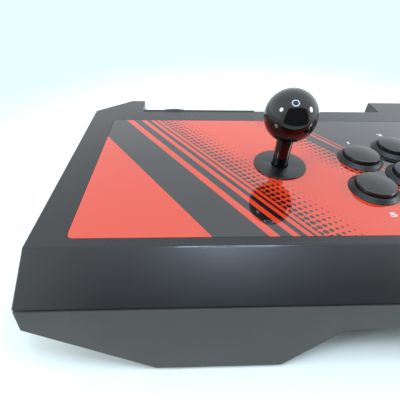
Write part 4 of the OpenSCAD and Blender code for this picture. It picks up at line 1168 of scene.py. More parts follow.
@dataclass
class Case:
    """Upper and lower shell, bottom plate, feet and their screws."""

    shop: Workshop
    form: CaseForm = field(default_factory=CaseForm)
    top_edge: float = 0.75
    base_edge: float = 0.9
    seam_edge: float = 0.2
    fine_edge: float = 0.3
    pocket: tuple[float, float, float] = (388.8, 144.3, 3.7)  # width, depth, corner radius
    panel_spot: Point = (0.0, -1.45)
    z_plate: float = 67.4
    z_ledge: float = 64.9
    ledge_w: float = 9.2
    frame_t: float = 2.5
    strip_spot: Point = (141.0, 91.5)
    strip_pocket: tuple[float, float, float] = (82.1, 26.1, 3.55)  # width, depth, corner radius
    strip_z: float = 68.2
    strip_edge: float = 2.5
    door_x: Point = (-171.2, -62.6)
    door_sill: Point = (5.8, 17.9)  # how far it reaches in, its height
    cheek_w: float = 6.0
    cheek_low: Point = (86.0, 17.9)  # y, z
    cheek_high: Point = (91.95, 24.15)
    hinge: Point = (89.3, 21.0)
    pin_hole_r: float = 1.25
    control_posts: tuple[Point, ...] = ((96.0, 81.5), (96.0, 101.5), (186.0, 81.5), (186.0, 101.5))
    control_post_r: float = 3.0
    control_z: float = 59.6
    case_screws: tuple[Point, ...] = (
        (-203.5, -62.0), (203.5, -62.0), (-203.5, 56.0), (203.5, 56.0), (0.0, -82.5), (-25.0, 81.0),
    )
    case_screw: CrossScrew = CrossScrew(1.6, 17.0, 3.2, 2.4)
    z_column: float = 44.0
    z_well: float = 41.0
    boss_r: float = 4.5
    column_r: float = 6.0
    column_up: float = 0.2
    well_r: float = 4.0
    well_hole_r: float = 1.65
    plate_size: Point = (272.0, 142.0)
    plate_spot: Point = (0.0, -5.0)
    plate_r: float = 3.5
    plate_t: float = 1.2
    plate_gap: Point = (0.05, 0.02)  # round the plate, under it
    plate_ledge: float = 7.0
    plate_screws: tuple[Point, ...] = (
        (-132.5, -49.0), (132.5, -49.0), (-132.5, 39.0), (132.5, 39.0), (0.0, -72.5), (0.0, 62.5),
    )
    plate_screw: CrossScrew = CrossScrew(1.5, 6.0, 3.0, 1.2)
    plate_hole_r: float = 1.55
    slot_x: tuple[float, ...] = (-84.0, -42.0, 42.0, 84.0)
    slot_y: tuple[float, ...] = (-16.0, -8.0, 0.0, 8.0, 16.0)
    slot_size: tuple[float, float, float] = (26.0, 3.0, 0.5)  # width, depth, how far it is sunk
    feet: tuple[Point, ...] = ((-109.75, -102.0), (109.75, -102.0), (-125.0, 79.0), (125.0, 79.0))
    foot_r: float = 9.0
    foot_gap: float = 0.05
    foot_seat: float = 1.0
    foot_ring: Point = (3.0, 3.3)  # radii of the ring's slope
    foot_ring_deep: float = 0.25
    foot_edges: tuple[float, ...] = (0.0, 0.1, 0.1, 0.8, 0.2, 0.0)
    board_posts: tuple[Point, ...] = ((70.0, 74.0), (70.0, 102.0), (136.0, 74.0), (136.0, 102.0))
    board_post: Point = (3.2, 6.0)  # radius, height
    plate_post: Point = (3.4, 4.0)  # radius, height

    def build(self) -> None:
        """Builds every piece of the case."""
        self.top_shell()
        self.base_shell()
        self.bottom_plate()
        self.rubber_feet()
        self.screws()

    def top_shell(self) -> None:
        """Upper shell, with its panel pocket, strip pocket and door opening."""
        form = self.form
        shell = form.block(0.0, form.z_seam, form.height)
        shell.round_edges(self.top_edge, lambda low, high: high > form.z_seam + NEAR)
        shell.round_edges(self.seam_edge, lambda low, high: high < form.z_seam + NEAR, segments=2)
        shell.cut(form.block(form.wall, form.z_seam - OVER, form.z_skin))
        width, depth, radius = self.pocket
        frame_size = (width + 2 * self.frame_t, depth + 2 * self.frame_t)
        under = form.z_skin + BITE
        frame = Solid.plate(self.panel_spot, frame_size, radius + self.frame_t, self.z_ledge, under)
        shell.join(frame.common(form.block(0.0, self.z_ledge, form.height)))
        for boss in [Solid.bar(p, self.boss_r, self.z_column, under) for p in self.case_screws]:
            shell.join(boss.common(form.block(form.wall / 2, 0.0, under)))
        shell.join(*[Solid.bar(p, self.control_post_r, self.control_z, under, SMALL_TURN) for p in self.control_posts])
        inner = (width - 2 * self.ledge_w, depth - 2 * self.ledge_w)
        strip_w, strip_d, strip_r = self.strip_pocket
        strip_inner = (strip_w - 2 * self.strip_edge, strip_d - 2 * self.strip_edge)
        top = form.height + OVER
        (x0, x1), y0 = self.door_x, form.y_notch - form.wall
        shell.cut(
            Solid.plate(self.panel_spot, (width, depth), radius, self.z_plate, top),
            Solid.plate(self.panel_spot, inner, radius, self.z_ledge - OVER, top),
            Solid.plate(self.strip_spot, (strip_w, strip_d), strip_r, self.strip_z, top),
            Solid.plate(self.strip_spot, strip_inner, strip_r, form.z_skin - OVER, top),
            Solid.block((x0, y0, form.z_seam - OVER), (x1, form.y_ear, top)),
        )
        shell.round_top(self.fine_edge, form.height, segments=2)
        self.shop.piece(shell, "upper_shell", Finish.TOP, nodes=["top_shell"], flat=True)

    def base_shell(self) -> None:
        """Lower shell, with its front recess, groove lip, wells and openings."""
        form = self.form
        shell = form.block(0.0, form.foot_gap, form.z_groove)
        shell.cut(Solid.prism(form.arch_outline(0.0), Axis.Y, -form.depth, form.y_arch))
        shell.round_edges(self.base_edge, lambda low, high: low < form.z_groove - NEAR)
        shell.round_top(self.seam_edge, form.z_groove, segments=2)
        hollow = form.block(form.wall, form.z_floor, form.height)
        hollow.cut(Solid.prism(form.arch_outline(form.wall), Axis.Y, -form.depth, form.y_arch + form.wall))
        shell.cut(hollow)
        lip = form.block(form.groove_in, form.z_groove - BITE, form.z_seam)
        shell.join(lip.cut(form.block(form.wall, form.foot_gap, form.height)))
        for spot in self.case_screws:
            column = Solid.bar(spot, self.column_r, form.foot_gap + self.column_up, self.z_column)
            shell.join(column.common(form.block(form.wall / 2, form.foot_gap, self.z_column)))
        for spots, (radius, tall) in ((self.plate_screws, self.plate_post), (self.board_posts, self.board_post)):
            for spot in spots:
                shell.join(Solid.bar(spot, radius, form.z_floor - BITE, form.z_floor + tall, SMALL_TURN))
        self.cheeks(shell)
        plate_w, plate_d = self.plate_size
        rebate = (plate_w + 2 * self.plate_gap[0], plate_d + 2 * self.plate_gap[0])
        opening = (plate_w - 2 * self.plate_ledge, plate_d - 2 * self.plate_ledge)
        foot, (sill_d, sill_z) = form.foot_gap, self.door_sill
        shell.cut(
            Solid.plate(self.plate_spot, rebate, self.plate_r, foot - OVER, foot + self.plate_t),
            Solid.plate(self.plate_spot, opening, self.plate_r, foot, form.z_floor + OVER),
            *[Solid.bar(p, self.foot_r + self.foot_gap, 0.0, foot + self.foot_seat) for p in self.feet],
            *[Solid.bar(p, self.well_r, 0.0, self.z_well) for p in self.case_screws],
            *[Solid.bar(p, self.well_hole_r, foot, self.z_column + OVER) for p in self.case_screws],
            Solid.block((self.door_x[0], form.y_notch - sill_d, sill_z), (self.door_x[1], form.y_ear, form.height)),
        )
        self.shop.piece(shell, "lower_shell", Finish.BASE, nodes=["base_shell"], flat=True)

    def cheeks(self, shell: Solid) -> None:
        """Joins the two cheeks that carry the door's pins.

        Args:
            shell: the lower shell.
        """
        form, wide = self.form, self.cheek_w
        for x in (self.door_x[0] - wide, self.door_x[1]):
            cheek = Solid.block((x, *self.cheek_low), (x + wide, *self.cheek_high))
            cheek.cut(lying_bar(self.hinge, self.pin_hole_r, x - OVER, x + wide + OVER, SMALL_TURN))
            shell.join(cheek.common(form.block(form.wall / 2, form.foot_gap, form.z_groove)))

    def bottom_plate(self) -> None:
        """Powder-coated plate in the underside, with recessed slots."""
        foot = self.form.foot_gap
        low, high = foot + self.plate_gap[1], foot + self.plate_t
        plate = Solid.plate(self.plate_spot, self.plate_size, self.plate_r, low, high)
        plate.round_edges(self.fine_edge, lambda _, end: end < low + NEAR, segments=2)
        wide, tall, deep = self.slot_size
        slots = [
            Solid.plate((x, self.plate_spot[1] + y), (wide, tall), tall / 2, foot - OVER, foot + deep)
            for x in self.slot_x for y in self.slot_y
        ]
        plate.cut(*slots, *[Solid.bar(p, self.plate_hole_r, 0.0, self.form.z_floor) for p in self.plate_screws])
        self.shop.piece(plate, "bottom_cover", Finish.PLATE, nodes=["bottom_plate"], flat=True)

    def rubber_feet(self) -> None:
        """Round feet, whose tread is sunk inside a ring."""
        top = self.form.foot_gap + self.foot_seat
        (inner, outer), deep = self.foot_ring, self.foot_ring_deep
        outline = [(0.0, deep), (inner, deep), (outer, 0.0), (self.foot_r, 0.0), (self.foot_r, top), (0.0, top)]
        profile = rounded(outline, self.foot_edges)
        feet = [Solid.turned(profile, spot, TURN) for spot in self.feet]
        self.shop.piece(feet, "round_feet", Finish.FOOT, nodes=["rubber_feet"])

    def screws(self) -> None:
        """Screws of the case and of the bottom plate."""
        case = [self.case_screw.make(spot, self.z_well) for spot in self.case_screws]
        self.shop.piece(case, "long_case_screws", Finish.SCREW, nodes=["case_screws"])
        plate = [self.plate_screw.make(spot, self.form.foot_gap) for spot in self.plate_screws]
        self.shop.piece(plate, "cover_screws", Finish.SCREW, nodes=["plate_screws"])


def lying_bar(axis: Point, radius: float, start: float, end: float, steps: int = 48) -> Solid:
    """Round bar along X, with its axis at (y, z)."""
    turn = Matrix.Translation((0.0, *axis)) @ Matrix.Rotation(math.radians(90), 4, "Y")
    return Solid.bar((0.0, 0.0), radius, start, end, steps).moved(turn)


# The panel, its buttons and its lever


@dataclass(frozen=True)
class PanelPlan:
    """Places on the playing panel."""

    spot: Point = (0.0, -1.45)
    size: Point = (388.4, 143.9)
    corner_r: float = 3.5
    top: float = 70.0
    overlay: float = 1.0
    lever: Point = (-60.3, -2.0)
    lever_hole: float = 12.0
    button_hole: float = 15.0
    buttons: tuple[Point, ...] = (
        (3.9, 5.6), (37.7, 19.5), (73.7, 19.5), (109.7, 10.5),
        (-3.1, -31.7), (30.7, -17.8), (66.7, -17.8), (102.7, -26.8),
    )


@dataclass
class PlayPanel:
    """Printed cover of the panel, its numerals and the steel under it."""

    shop: Workshop
    plan: PanelPlan = field(default_factory=PanelPlan)
    edge: float = 0.18
    numeral_size: float = 7.6
    numeral_stretch: Place = (1.35, 0.66, 1.0)
    numeral_bold: float = 0.16
    numeral_t: float = 0.01
    numeral_up: float = 0.015
    numeral_steps: int = 4
    rear_row: int = 4
    behind: Point = (1.5, 24.6)  # from a rear button to its numeral
    in_front: Point = (0.3, -25.0)  # from a front button to its numeral

    def build(self) -> bpy.types.Object:
        """Builds the cover and the numerals.

        Returns:
            The cover.
        """
        plan = self.plan
        cover = Solid.plate(plan.spot, plan.size, plan.corner_r, plan.top - plan.overlay, plan.top)
        cover.cut(
            Solid.bar(plan.lever, plan.lever_hole, 0.0, plan.top + OVER, TURN),
            *[Solid.bar(p, plan.button_hole, 0.0, plan.top + OVER, TURN) for p in plan.buttons],
        )
        cover.round_top(self.edge, plan.top, segments=2)
        printed = self.shop.piece(cover, "printed_cover", Finish.PRINT, nodes=["panel_overlay"], flat=True)
        for i, spot in enumerate(plan.buttons):
            self.numeral(i + 1, spot, self.behind if i < self.rear_row else self.in_front)
        self.shop.dress({Finish.SHEET: ["control_plate"], Finish.SCREW: ["panel_screws"]})
        return printed

    def numeral(self, number: int, button: Point, step: Point) -> None:
        """Printed number beside a button.

        Args:
            number: the number.
            button: the button's place.
            step: from the button to the number.
        """
        curve = bpy.data.curves.new("numeral", "FONT")
        curve.body = str(number)
        curve.size = self.numeral_size
        curve.offset = self.numeral_bold
        curve.align_x = curve.align_y = "CENTER"
        curve.extrude = self.numeral_t
        curve.resolution_u = self.numeral_steps
        draft = bpy.data.objects.new("numeral", curve)
        bpy.context.scene.collection.objects.link(draft)
        bpy.context.view_layer.update()
        mesh = bpy.data.meshes.new_from_object(draft.evaluated_get(bpy.context.evaluated_depsgraph_get()))
        bpy.data.objects.remove(draft)
        bpy.data.curves.remove(curve)
        spot = (button[0] + step[0], button[1] + step[1], self.plan.top + self.numeral_up)
        solid = Solid(mesh).moved(Matrix.Diagonal((*self.numeral_stretch, 1.0))).moved(Matrix.Translation(spot))
        self.shop.piece(solid, f"numeral_{number}", Finish.WHITE_INK, slot=Finish.PRINT)


@dataclass
class ButtonSet:
    """Eight round buttons: rims with their bodies, plungers, springs and switches."""

    shop: Workshop
    plan: PanelPlan = field(default_factory=PanelPlan)
    rim_r: float = 16.7
    rim_h: float = 2.8
    rim_edge: float = 0.35
    rim_slope: Point = (0.9, 1.0)  # how far in and up
    crest_w: float = 0.9
    rim_edges: tuple[float, ...] = (0.2, 0.4, 0.0, 0.1, 0.3, 2.0, 0.9, 0.3, 0.3, 0.1)
    bore_r: float = 13.0
    body_r: float = 14.65
    deep: float = 24.0
    floor_t: float = 2.0
    floor_hole: float = 2.5
    cheek_size: Place = (12.8, 1.2, 10.0)  # width, thickness, height
    cheek_y: Point = (-3.5, 3.5)
    plunger_r: float = 12.6
    crown: float = 6.8
    side: float = 5.3
    edge: float = 0.55
    wall: float = 1.5
    cap_t: float = 2.0
    hub_r: float = 5.0
    hub_deep: float = 10.0
    skirt_deep: float = 11.0
    skirt_edge: float = 0.3
    stem_r: float = 2.2
    stem_out: float = 0.6
    dome_steps: int = 12
    edge_turns: tuple[int, ...] = (18, 36, 54, 72, 90)  # degrees
    spring_r: float = 3.5
    spring_wire: float = 0.45

    def build(self) -> None:
        """Builds the rims, the plungers and their springs, and dresses the switches."""
        housings = [self.housing(p) for p in self.plan.buttons]
        self.shop.piece(housings, "button_bodies", Finish.RIM, nodes=["button_housings"])
        for i, spot in enumerate(self.plan.buttons, 1):
            self.shop.piece(self.plunger(spot), f"button_cap_{i}", Finish.PLUNGER, f"button_{i}", [f"plunger_{i}"])
            self.spring(i, spot)
        self.shop.dress({Finish.SWITCH: ["button_switches"]})

    def spring(self, number: int, spot: Point) -> None:
        """Coil spring of one button.

        Args:
            number: the button's number.
            spot: the button's place.
        """
        low, high = (corner.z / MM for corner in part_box("button_springs"))
        coil = Solid.coil(spot, self.spring_r, self.spring_wire, low, high)
        bends = (f"button_{number}", (*spot, low), (*spot, high))
        self.shop.piece(coil, f"button_coil_{number}", Finish.SPRING, nodes=["button_springs"], bends=bends)

    def housing(self, spot: Point) -> Solid:
        """Body of one button with its sloping rim.

        Args:
            spot: the button's place.

        Returns:
            The solid.
        """
        top, floor = self.plan.top, self.plan.top - self.deep
        crest, (slope_in, slope_up) = top + self.rim_h, self.rim_slope
        profile = [
            (self.floor_hole, floor), (self.body_r, floor), (self.body_r, top), (self.rim_r, top),
            (self.rim_r, top + self.rim_edge), (self.rim_r - slope_in, top + slope_up),
            (self.bore_r + self.crest_w, crest), (self.bore_r, crest),
            (self.bore_r, floor + self.floor_t), (self.floor_hole, floor + self.floor_t),
        ]
        body = Solid.turned(rounded(profile, self.rim_edges), spot)
        half, thick, tall = self.cheek_size[0] / 2, self.cheek_size[1] / 2, self.cheek_size[2]
        (x, y), high = spot, floor + BITE
        return body.join(*[
            Solid.block((x - half, y + step - thick, floor - tall), (x + half, y + step + thick, high))
            for step in self.cheek_y
        ])

    def plunger(self, spot: Point) -> Solid:
        """Domed cap of one button with its skirt and stem.

        Args:
            spot: the button's place.

        Returns:
            The solid.
        """
        top, r, edge = self.plan.top, self.plunger_r, self.edge
        rise = self.crown - self.side
        bow = (r * r + rise * rise) / (2 * rise)
        reaches = [(r - edge) * k / self.dome_steps for k in range(self.dome_steps + 1)]
        dome = [(reach, top + self.crown - bow + math.sqrt(bow * bow - reach * reach)) for reach in reaches]
        drop = dome[-1][1] - edge
        turns = (math.radians(turn) for turn in self.edge_turns)
        corner = [(r - edge + edge * math.sin(a), drop + edge * math.cos(a)) for a in turns]
        inner, under = r - self.wall, top + self.side - self.cap_t
        foot, hub, stem = top - self.skirt_deep, top - self.hub_deep, top - self.deep - self.stem_out
        soft, tip = self.skirt_edge, self.stem_out
        lower = [
            (r, foot + soft), (r - soft, foot), (inner, foot), (inner, under), (self.hub_r, under), (self.hub_r, hub),
            (self.stem_r, hub), (self.stem_r, stem + tip), (self.stem_r - tip, stem), (0.0, stem),
        ]
        return Solid.turned(dome + corner + lower, spot)


@dataclass
class Lever:
    """Ball-top lever with its box, gate, switches and dust washers."""

    shop: Workshop
    plan: PanelPlan = field(default_factory=PanelPlan)
    ball_r: float = 17.5
    ball_z: float = 108.3
    ball_steps: int = 64
    tube_r: float = 5.65
    tube_low: float = 57.8
    tube_edges: tuple[float, ...] = (0.1, 0.5, 0.25, 0.1)
    bore_r: float = 4.05
    thread_r: float = 3.05
    thread_l: float = 13.0
    thread_end: float = 1.0
    thread_edge: float = 0.3
    washer_r: float = 19.0
    washer_hole: float = 6.1
    washer_t: float = 1.0
    washer_edges: tuple[float, ...] = (0.1, 0.15, 0.4, 0.3)
    spring_r: float = 7.4
    spring_wire: float = 0.7
    spring_play: float = 1.1

    @property
    def foot_z(self) -> float:
        """Height at which the ball meets its tube."""
        return self.ball_z - math.sqrt(self.ball_r ** 2 - self.tube_r ** 2)

    def build(self) -> None:
        """Builds the ball, the tube, the washer and the spring, and dresses the rest."""
        self.shop.piece(self.ball(), "lever_ball", Finish.BALL, "lever", ["ball_top"])
        tube = self.ring((self.bore_r, self.tube_r), (self.tube_low, self.foot_z), self.tube_edges)
        self.shop.piece(tube, "shaft_tube", Finish.COVER, "lever", ["shaft_cover"])
        radii, heights = (self.washer_hole, self.washer_r), (self.plan.top, self.plan.top + self.washer_t)
        washer = self.ring(radii, heights, self.washer_edges, LARGE_TURN)
        self.shop.piece(washer, "dust_disc", Finish.WASHER, "dust_slide_x", ["dust_washer"])
        self.spring()
        self.shop.dress({
            Finish.WASHER: ["lower_dust_washer"],
            Finish.PIN: ["lever_shaft", "e_clip", "spring_seat"],
            Finish.BOX: ["lever_body", "gate"],
            Finish.WHITE: ["pivot", "pivot_retainer", "lever_header"],
            Finish.ACTUATOR: ["actuator"],
            Finish.SHEET: ["lever_mount_plate"],
            Finish.BOARD: ["switch_board"],
            Finish.SWITCH: ["lever_switches"],
            Finish.SCREW: ["lever_screws"],
        })

    def spring(self) -> None:
        """Centring spring, which has play above the lever's flange."""
        low, high = (corner.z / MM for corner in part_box("lever_spring"))
        spot = self.plan.lever
        coil = Solid.coil(spot, self.spring_r, self.spring_wire, low + self.spring_play, high)
        bends = ("lever_gimbal", (*spot, high), (*spot, low))
        self.shop.piece(coil, "centring_coil", Finish.SPRING, nodes=["lever_spring"], bends=bends)

    def ball(self) -> Solid:
        """Ball with a flat at its foot and a threaded well.

        Returns:
            The solid.
        """
        start = math.asin(self.tube_r / self.ball_r)
        angles = (start + (math.pi - start) * k / self.ball_steps for k in range(self.ball_steps))
        outer = [(self.ball_r * math.sin(a), self.ball_z - self.ball_r * math.cos(a)) for a in angles]
        foot, well, soft = self.foot_z, self.foot_z + self.thread_l, self.thread_edge
        inner = [
            (0.0, self.ball_z + self.ball_r), (0.0, well), (self.thread_r, well - self.thread_end),
            (self.thread_r, foot + soft), (self.thread_r + soft, foot),
        ]
        return Solid.turned(outer + inner, self.plan.lever, LARGE_TURN)

    def ring(self, radii: Point, heights: Point, edges: Sequence[float], steps: int = 96) -> Solid:
        """Ring round the lever's axis.

        Args:
            radii: of its hole and its outside.
            heights: of its underside and its top.
            edges: how far its four rims are rounded.
            steps: facets of the turn.

        Returns:
            The solid.
        """
        (hole, outside), (low, high) = radii, heights
        profile = rounded([(hole, low), (outside, low), (outside, high), (hole, high)], edges)
        return Solid.turned(profile, self.plan.lever, steps)


# The control strip


@dataclass
class ControlStrip:
    """Gloss strip on the right rear ear with its keys, slide switches and lamp."""

    shop: Workshop
    spot: Point = (141.0, 91.5)
    size: Point = (82.0, 26.0)
    corner_r: float = 3.5
    edge: float = 0.35
    low: float = 68.2
    top: float = 70.4
    key_low: float = 67.0
    key_up: float = 0.8
    key_r: float = 1.95
    key_edge: float = 0.4
    gap: float = 0.3
    flange: float = 1.0
    pad_x: float = -22.6
    pad_size: Point = (29.0, 17.6)
    pad_up: float = 0.2
    pad_rim: float = 1.0
    pad_deep: float = 0.15
    pad_edge: float = 0.08
    option_x: float = -1.5
    option_size: Point = (8.0, 4.0)
    row_y: float = 5.5
    home_x: float = 10.5
    home_r: float = 5.5
    turbo_x: float = 22.5
    turbo_r: float = 3.5
    dish: tuple[Point, ...] = ((0.0, 0.25), (0.4, 0.2), (0.7, 0.08))  # share of the radius, depth
    dish_rim: float = 0.8
    round_edges: tuple[float, ...] = (0.1, 0.3, 0.05, 0.1, 0.0)
    lens: Point = (7.0, 2.4)
    lens_gap: float = 0.01
    lens_up: float = 0.2
    lens_edge: float = 0.15
    slot_r: float = 0.3
    slide_x: float = 33.0
    slide_w: float = 3.0
    travel: float = 3.0
    knob_low: float = 63.2
    knob_edge: float = 0.25
    ridges: tuple[float, ...] = (-0.8, 0.0, 0.8)
    ridge_size: Point = (0.12, 0.25)  # half width, depth

    def at(self, x: float, y: float) -> Point:
        """A place on the strip, from its middle."""
        return self.spot[0] + x, self.spot[1] + y

    @staticmethod
    def grown(size: Point, by: float) -> Point:
        """A size made larger on every side."""
        return size[0] + 2 * by, size[1] + 2 * by

    def build(self) -> None:
        """Builds the strip and what is in it."""
        self.bezel()
        self.touch_pad()
        for name, side in (("option_button_left", self.row_y), ("option_button_right", -self.row_y)):
            self.long_key(name, self.at(self.option_x, side))
        self.round_key("home_button", self.at(self.home_x, 0.0), self.home_r)
        self.round_key("turbo_button", self.at(self.turbo_x, self.row_y), self.turbo_r)
        for name, side in (("lock_switch", self.row_y), ("mode_switch", -self.row_y)):
            self.knob(name, side)
        self.lamp()
        self.shop.dress({Finish.BOARD: ["control_board"], Finish.SWITCH: ["key_switches"]})

    def bezel(self) -> None:
        """Gloss cover with an opening for every key."""
        strip = Solid.plate(self.spot, self.size, self.corner_r, self.low, self.top)
        strip.round_top(self.edge, self.top)
        high, gap, row = self.top + OVER, self.gap, self.row_y
        holes = [
            Solid.plate(self.at(self.pad_x, 0.0), self.grown(self.pad_size, gap), self.key_r, 0.0, high),
            Solid.bar(self.at(self.home_x, 0.0), self.home_r + gap, 0.0, high),
            Solid.bar(self.at(self.turbo_x, row), self.turbo_r + gap, 0.0, high),
            Solid.plate(self.at(self.turbo_x, -row), self.grown(self.lens, self.lens_gap), self.slot_r, 0.0, high),
        ]
        option = self.grown(self.option_size, gap)
        slot = self.grown((self.slide_w, self.slide_w + self.travel), gap)
        for side in (-row, row):
            holes.append(Solid.plate(self.at(self.option_x, side), option, self.key_r, 0.0, high))
            holes.append(Solid.plate(self.at(self.slide_x, side), slot, self.slot_r, 0.0, high))
        strip.cut(*holes)
        self.shop.piece(strip, "strip_cover", Finish.STRIP, nodes=["control_bezel"], flat=True)

    def add_flange(self, key: Solid, spot: Point, size: Point) -> None:
        """Joins the flange that holds a key under the strip."""
        key.join(Solid.plate(spot, self.grown(size, self.flange), self.key_r, self.key_low, self.low))

    def long_key(self, name: str, spot: Point) -> None:
        """Key with rounded ends on its flange.

        Args:
            name: the CAD node, which is also its body.
            spot: where it stands.
        """
        high = self.top + self.key_up
        key = Solid.plate(spot, self.option_size, self.key_r, self.key_low, high)
        key.round_top(self.key_edge, high)
        self.add_flange(key, spot, self.option_size)
        self.shop.piece(key, f"{name}_cap", Finish.KEY, name, [name], flat=True)

    def touch_pad(self) -> None:
        """Touch pad with a shallow tray in its face."""
        spot, size, high = self.at(self.pad_x, 0.0), self.pad_size, self.top + self.pad_up
        pad = Solid.plate(spot, size, self.key_r, self.key_low, high)
        pad.cut(Solid.plate(spot, self.grown(size, -self.pad_rim), self.key_r, high - self.pad_deep, high + OVER))
        pad.round_top(self.pad_edge, high, segments=2)
        self.add_flange(pad, spot, size)
        self.shop.piece(pad, "touch_pad_cap", Finish.KEY, "touch_pad", ["touch_pad"], flat=True)

    def round_key(self, name: str, spot: Point, radius: float) -> None:
        """Round key with a dished face on its flange.

        Args:
            name: the CAD node, which is also its body.
            spot: where it stands.
            radius: its radius.
        """
        high = self.top + self.key_up
        wide = radius + self.gap + self.flange
        dish = [(radius * share, high - deep) for share, deep in self.dish]
        rim = [
            (radius * self.dish_rim, high), (radius, high), (radius, self.low), (wide, self.low), (wide, self.key_low),
        ]
        profile = dish + rounded(rim, self.round_edges) + [(0.0, self.key_low)]
        self.shop.piece(Solid.turned(profile, spot, TURN), f"{name}_cap", Finish.KEY, name, [name])

    def knob(self, name: str, side: float) -> None:
        """Knob of a slide switch, with three grooves across its top.

        Args:
            name: the CAD node, which is also its body.
            side: where its slot lies, from the strip's middle line.
        """
        x, y = self.at(self.slide_x, side - self.travel / 2)
        half, high = self.slide_w / 2, self.top + self.key_up
        knob = Solid.block((x - half, y - half, self.knob_low), (x + half, y + half, high))
        knob.round_top(self.knob_edge, high)
        thin, deep = self.ridge_size
        for step in self.ridges:
            low = (x - half - OVER, y + step - thin, high - deep)
            knob.cut(Solid.block(low, (x + half + OVER, y + step + thin, high + OVER)))
        self.shop.piece(knob, f"{name}_knob", Finish.SLIDE, name, [name], flat=True)

    def lamp(self) -> None:
        """Clear lens of the lamp."""
        high = self.top + self.lens_up
        lens = Solid.plate(self.at(self.turbo_x, -self.row_y), self.lens, self.slot_r, self.low, high)
        lens.round_top(self.lens_edge, high, segments=2)
        self.shop.piece(lens, "lamp_lens", Finish.LENS, nodes=["led_lens"], flat=True)


# The cable bay and what is wired to it


@dataclass
class CableStore:
    """Cable bay, its door and the socket in it."""

    shop: Workshop
    door_x: Point = (-170.7, -63.1)
    door_y: Point = (89.2, 92.0)
    door_z: Point = (21.0, 70.7)
    slope: float = 2.3  # how far the door's top slopes
    slope_drop: float = 0.75
    edges: tuple[float, ...] = (0.0, 0.1, 0.1, 0.2, 0.0)
    barrel_r: float = 2.7
    hinge: Point = (89.3, 21.0)
    tab_x: float = -140.6
    tab_w: float = 19.0
    tab_h: float = 1.0
    tab_steps: int = 24
    tab_power: float = 1.5
    pin_r: float = 1.3
    pin_l: float = 6.1

    def build(self) -> None:
        """Builds the door and dresses the rest."""
        self.door()
        self.shop.dress({Finish.BAY: ["cable_bay"], Finish.PIN: ["door_pins"], Finish.SOCKET: ["lead_socket"]})

    def door(self) -> None:
        """Door with a finger tab above and a hinge barrel below."""
        (x0, x1), (y0, y1), (z0, z1) = self.door_x, self.door_y, self.door_z
        z_slope, y_tab = z1 - self.slope_drop, y1 + self.tab_h
        side = [(y0, z0), (y0, z_slope), (y0 + self.slope, z1), (y1, z1), (y1, z0)]
        door = Solid.prism(rounded(side, self.edges), Axis.X, x0, x1)
        shares = [k / self.tab_steps - 0.5 for k in range(self.tab_steps + 1)]
        heights = [self.tab_h * (1 - (2 * share) ** 2) ** self.tab_power for share in shares]
        arc = [(self.tab_x + self.tab_w * share, z1 + height) for share, height in zip(shares, heights)]
        foot = [(arc[-1][0], z1 - OVER), (arc[0][0], z1 - OVER)]
        over = [(y_tab, z0), (y_tab, z1), (y1, z1 + self.tab_h), (y0, z_slope), (y0, z0)]
        door.join(Solid.prism(arc + foot, Axis.Y, y0, y_tab).common(Solid.prism(over, Axis.X, x0, x1)))
        door.join(lying_bar(self.hinge, self.barrel_r, x0, x1))
        for start, end in ((x0 - OVER, x0 + self.pin_l), (x1 - self.pin_l, x1 + OVER)):
            door.cut(lying_bar(self.hinge, self.pin_r, start, end))
        self.shop.piece(door, "bay_door", Finish.DOOR, "cable_door", ["cable_door"], flat=True)


@dataclass
class Electronics:
    """Main board, its screws, the lead and the harnesses."""

    shop: Workshop

    def build(self) -> None:
        """Dresses the boards and wires."""
        self.shop.dress({
            Finish.BOARD: ["main_board"],
            Finish.SCREW: ["board_screws"],
            Finish.LEAD: ["inner_lead"],
            Finish.HARNESS: ["lever_harness", "control_harness"],
            Finish.HARNESS_RED: ["button_harness"],
        })


# The studio


@dataclass(frozen=True)
class Glow:
    """Round patch of light on the tent's side, as seen from the object."""

    towards: Place
    fall: Point = (6.0, 9.0)  # degrees from its middle where it starts and ends to fade
    level: float = 26.0


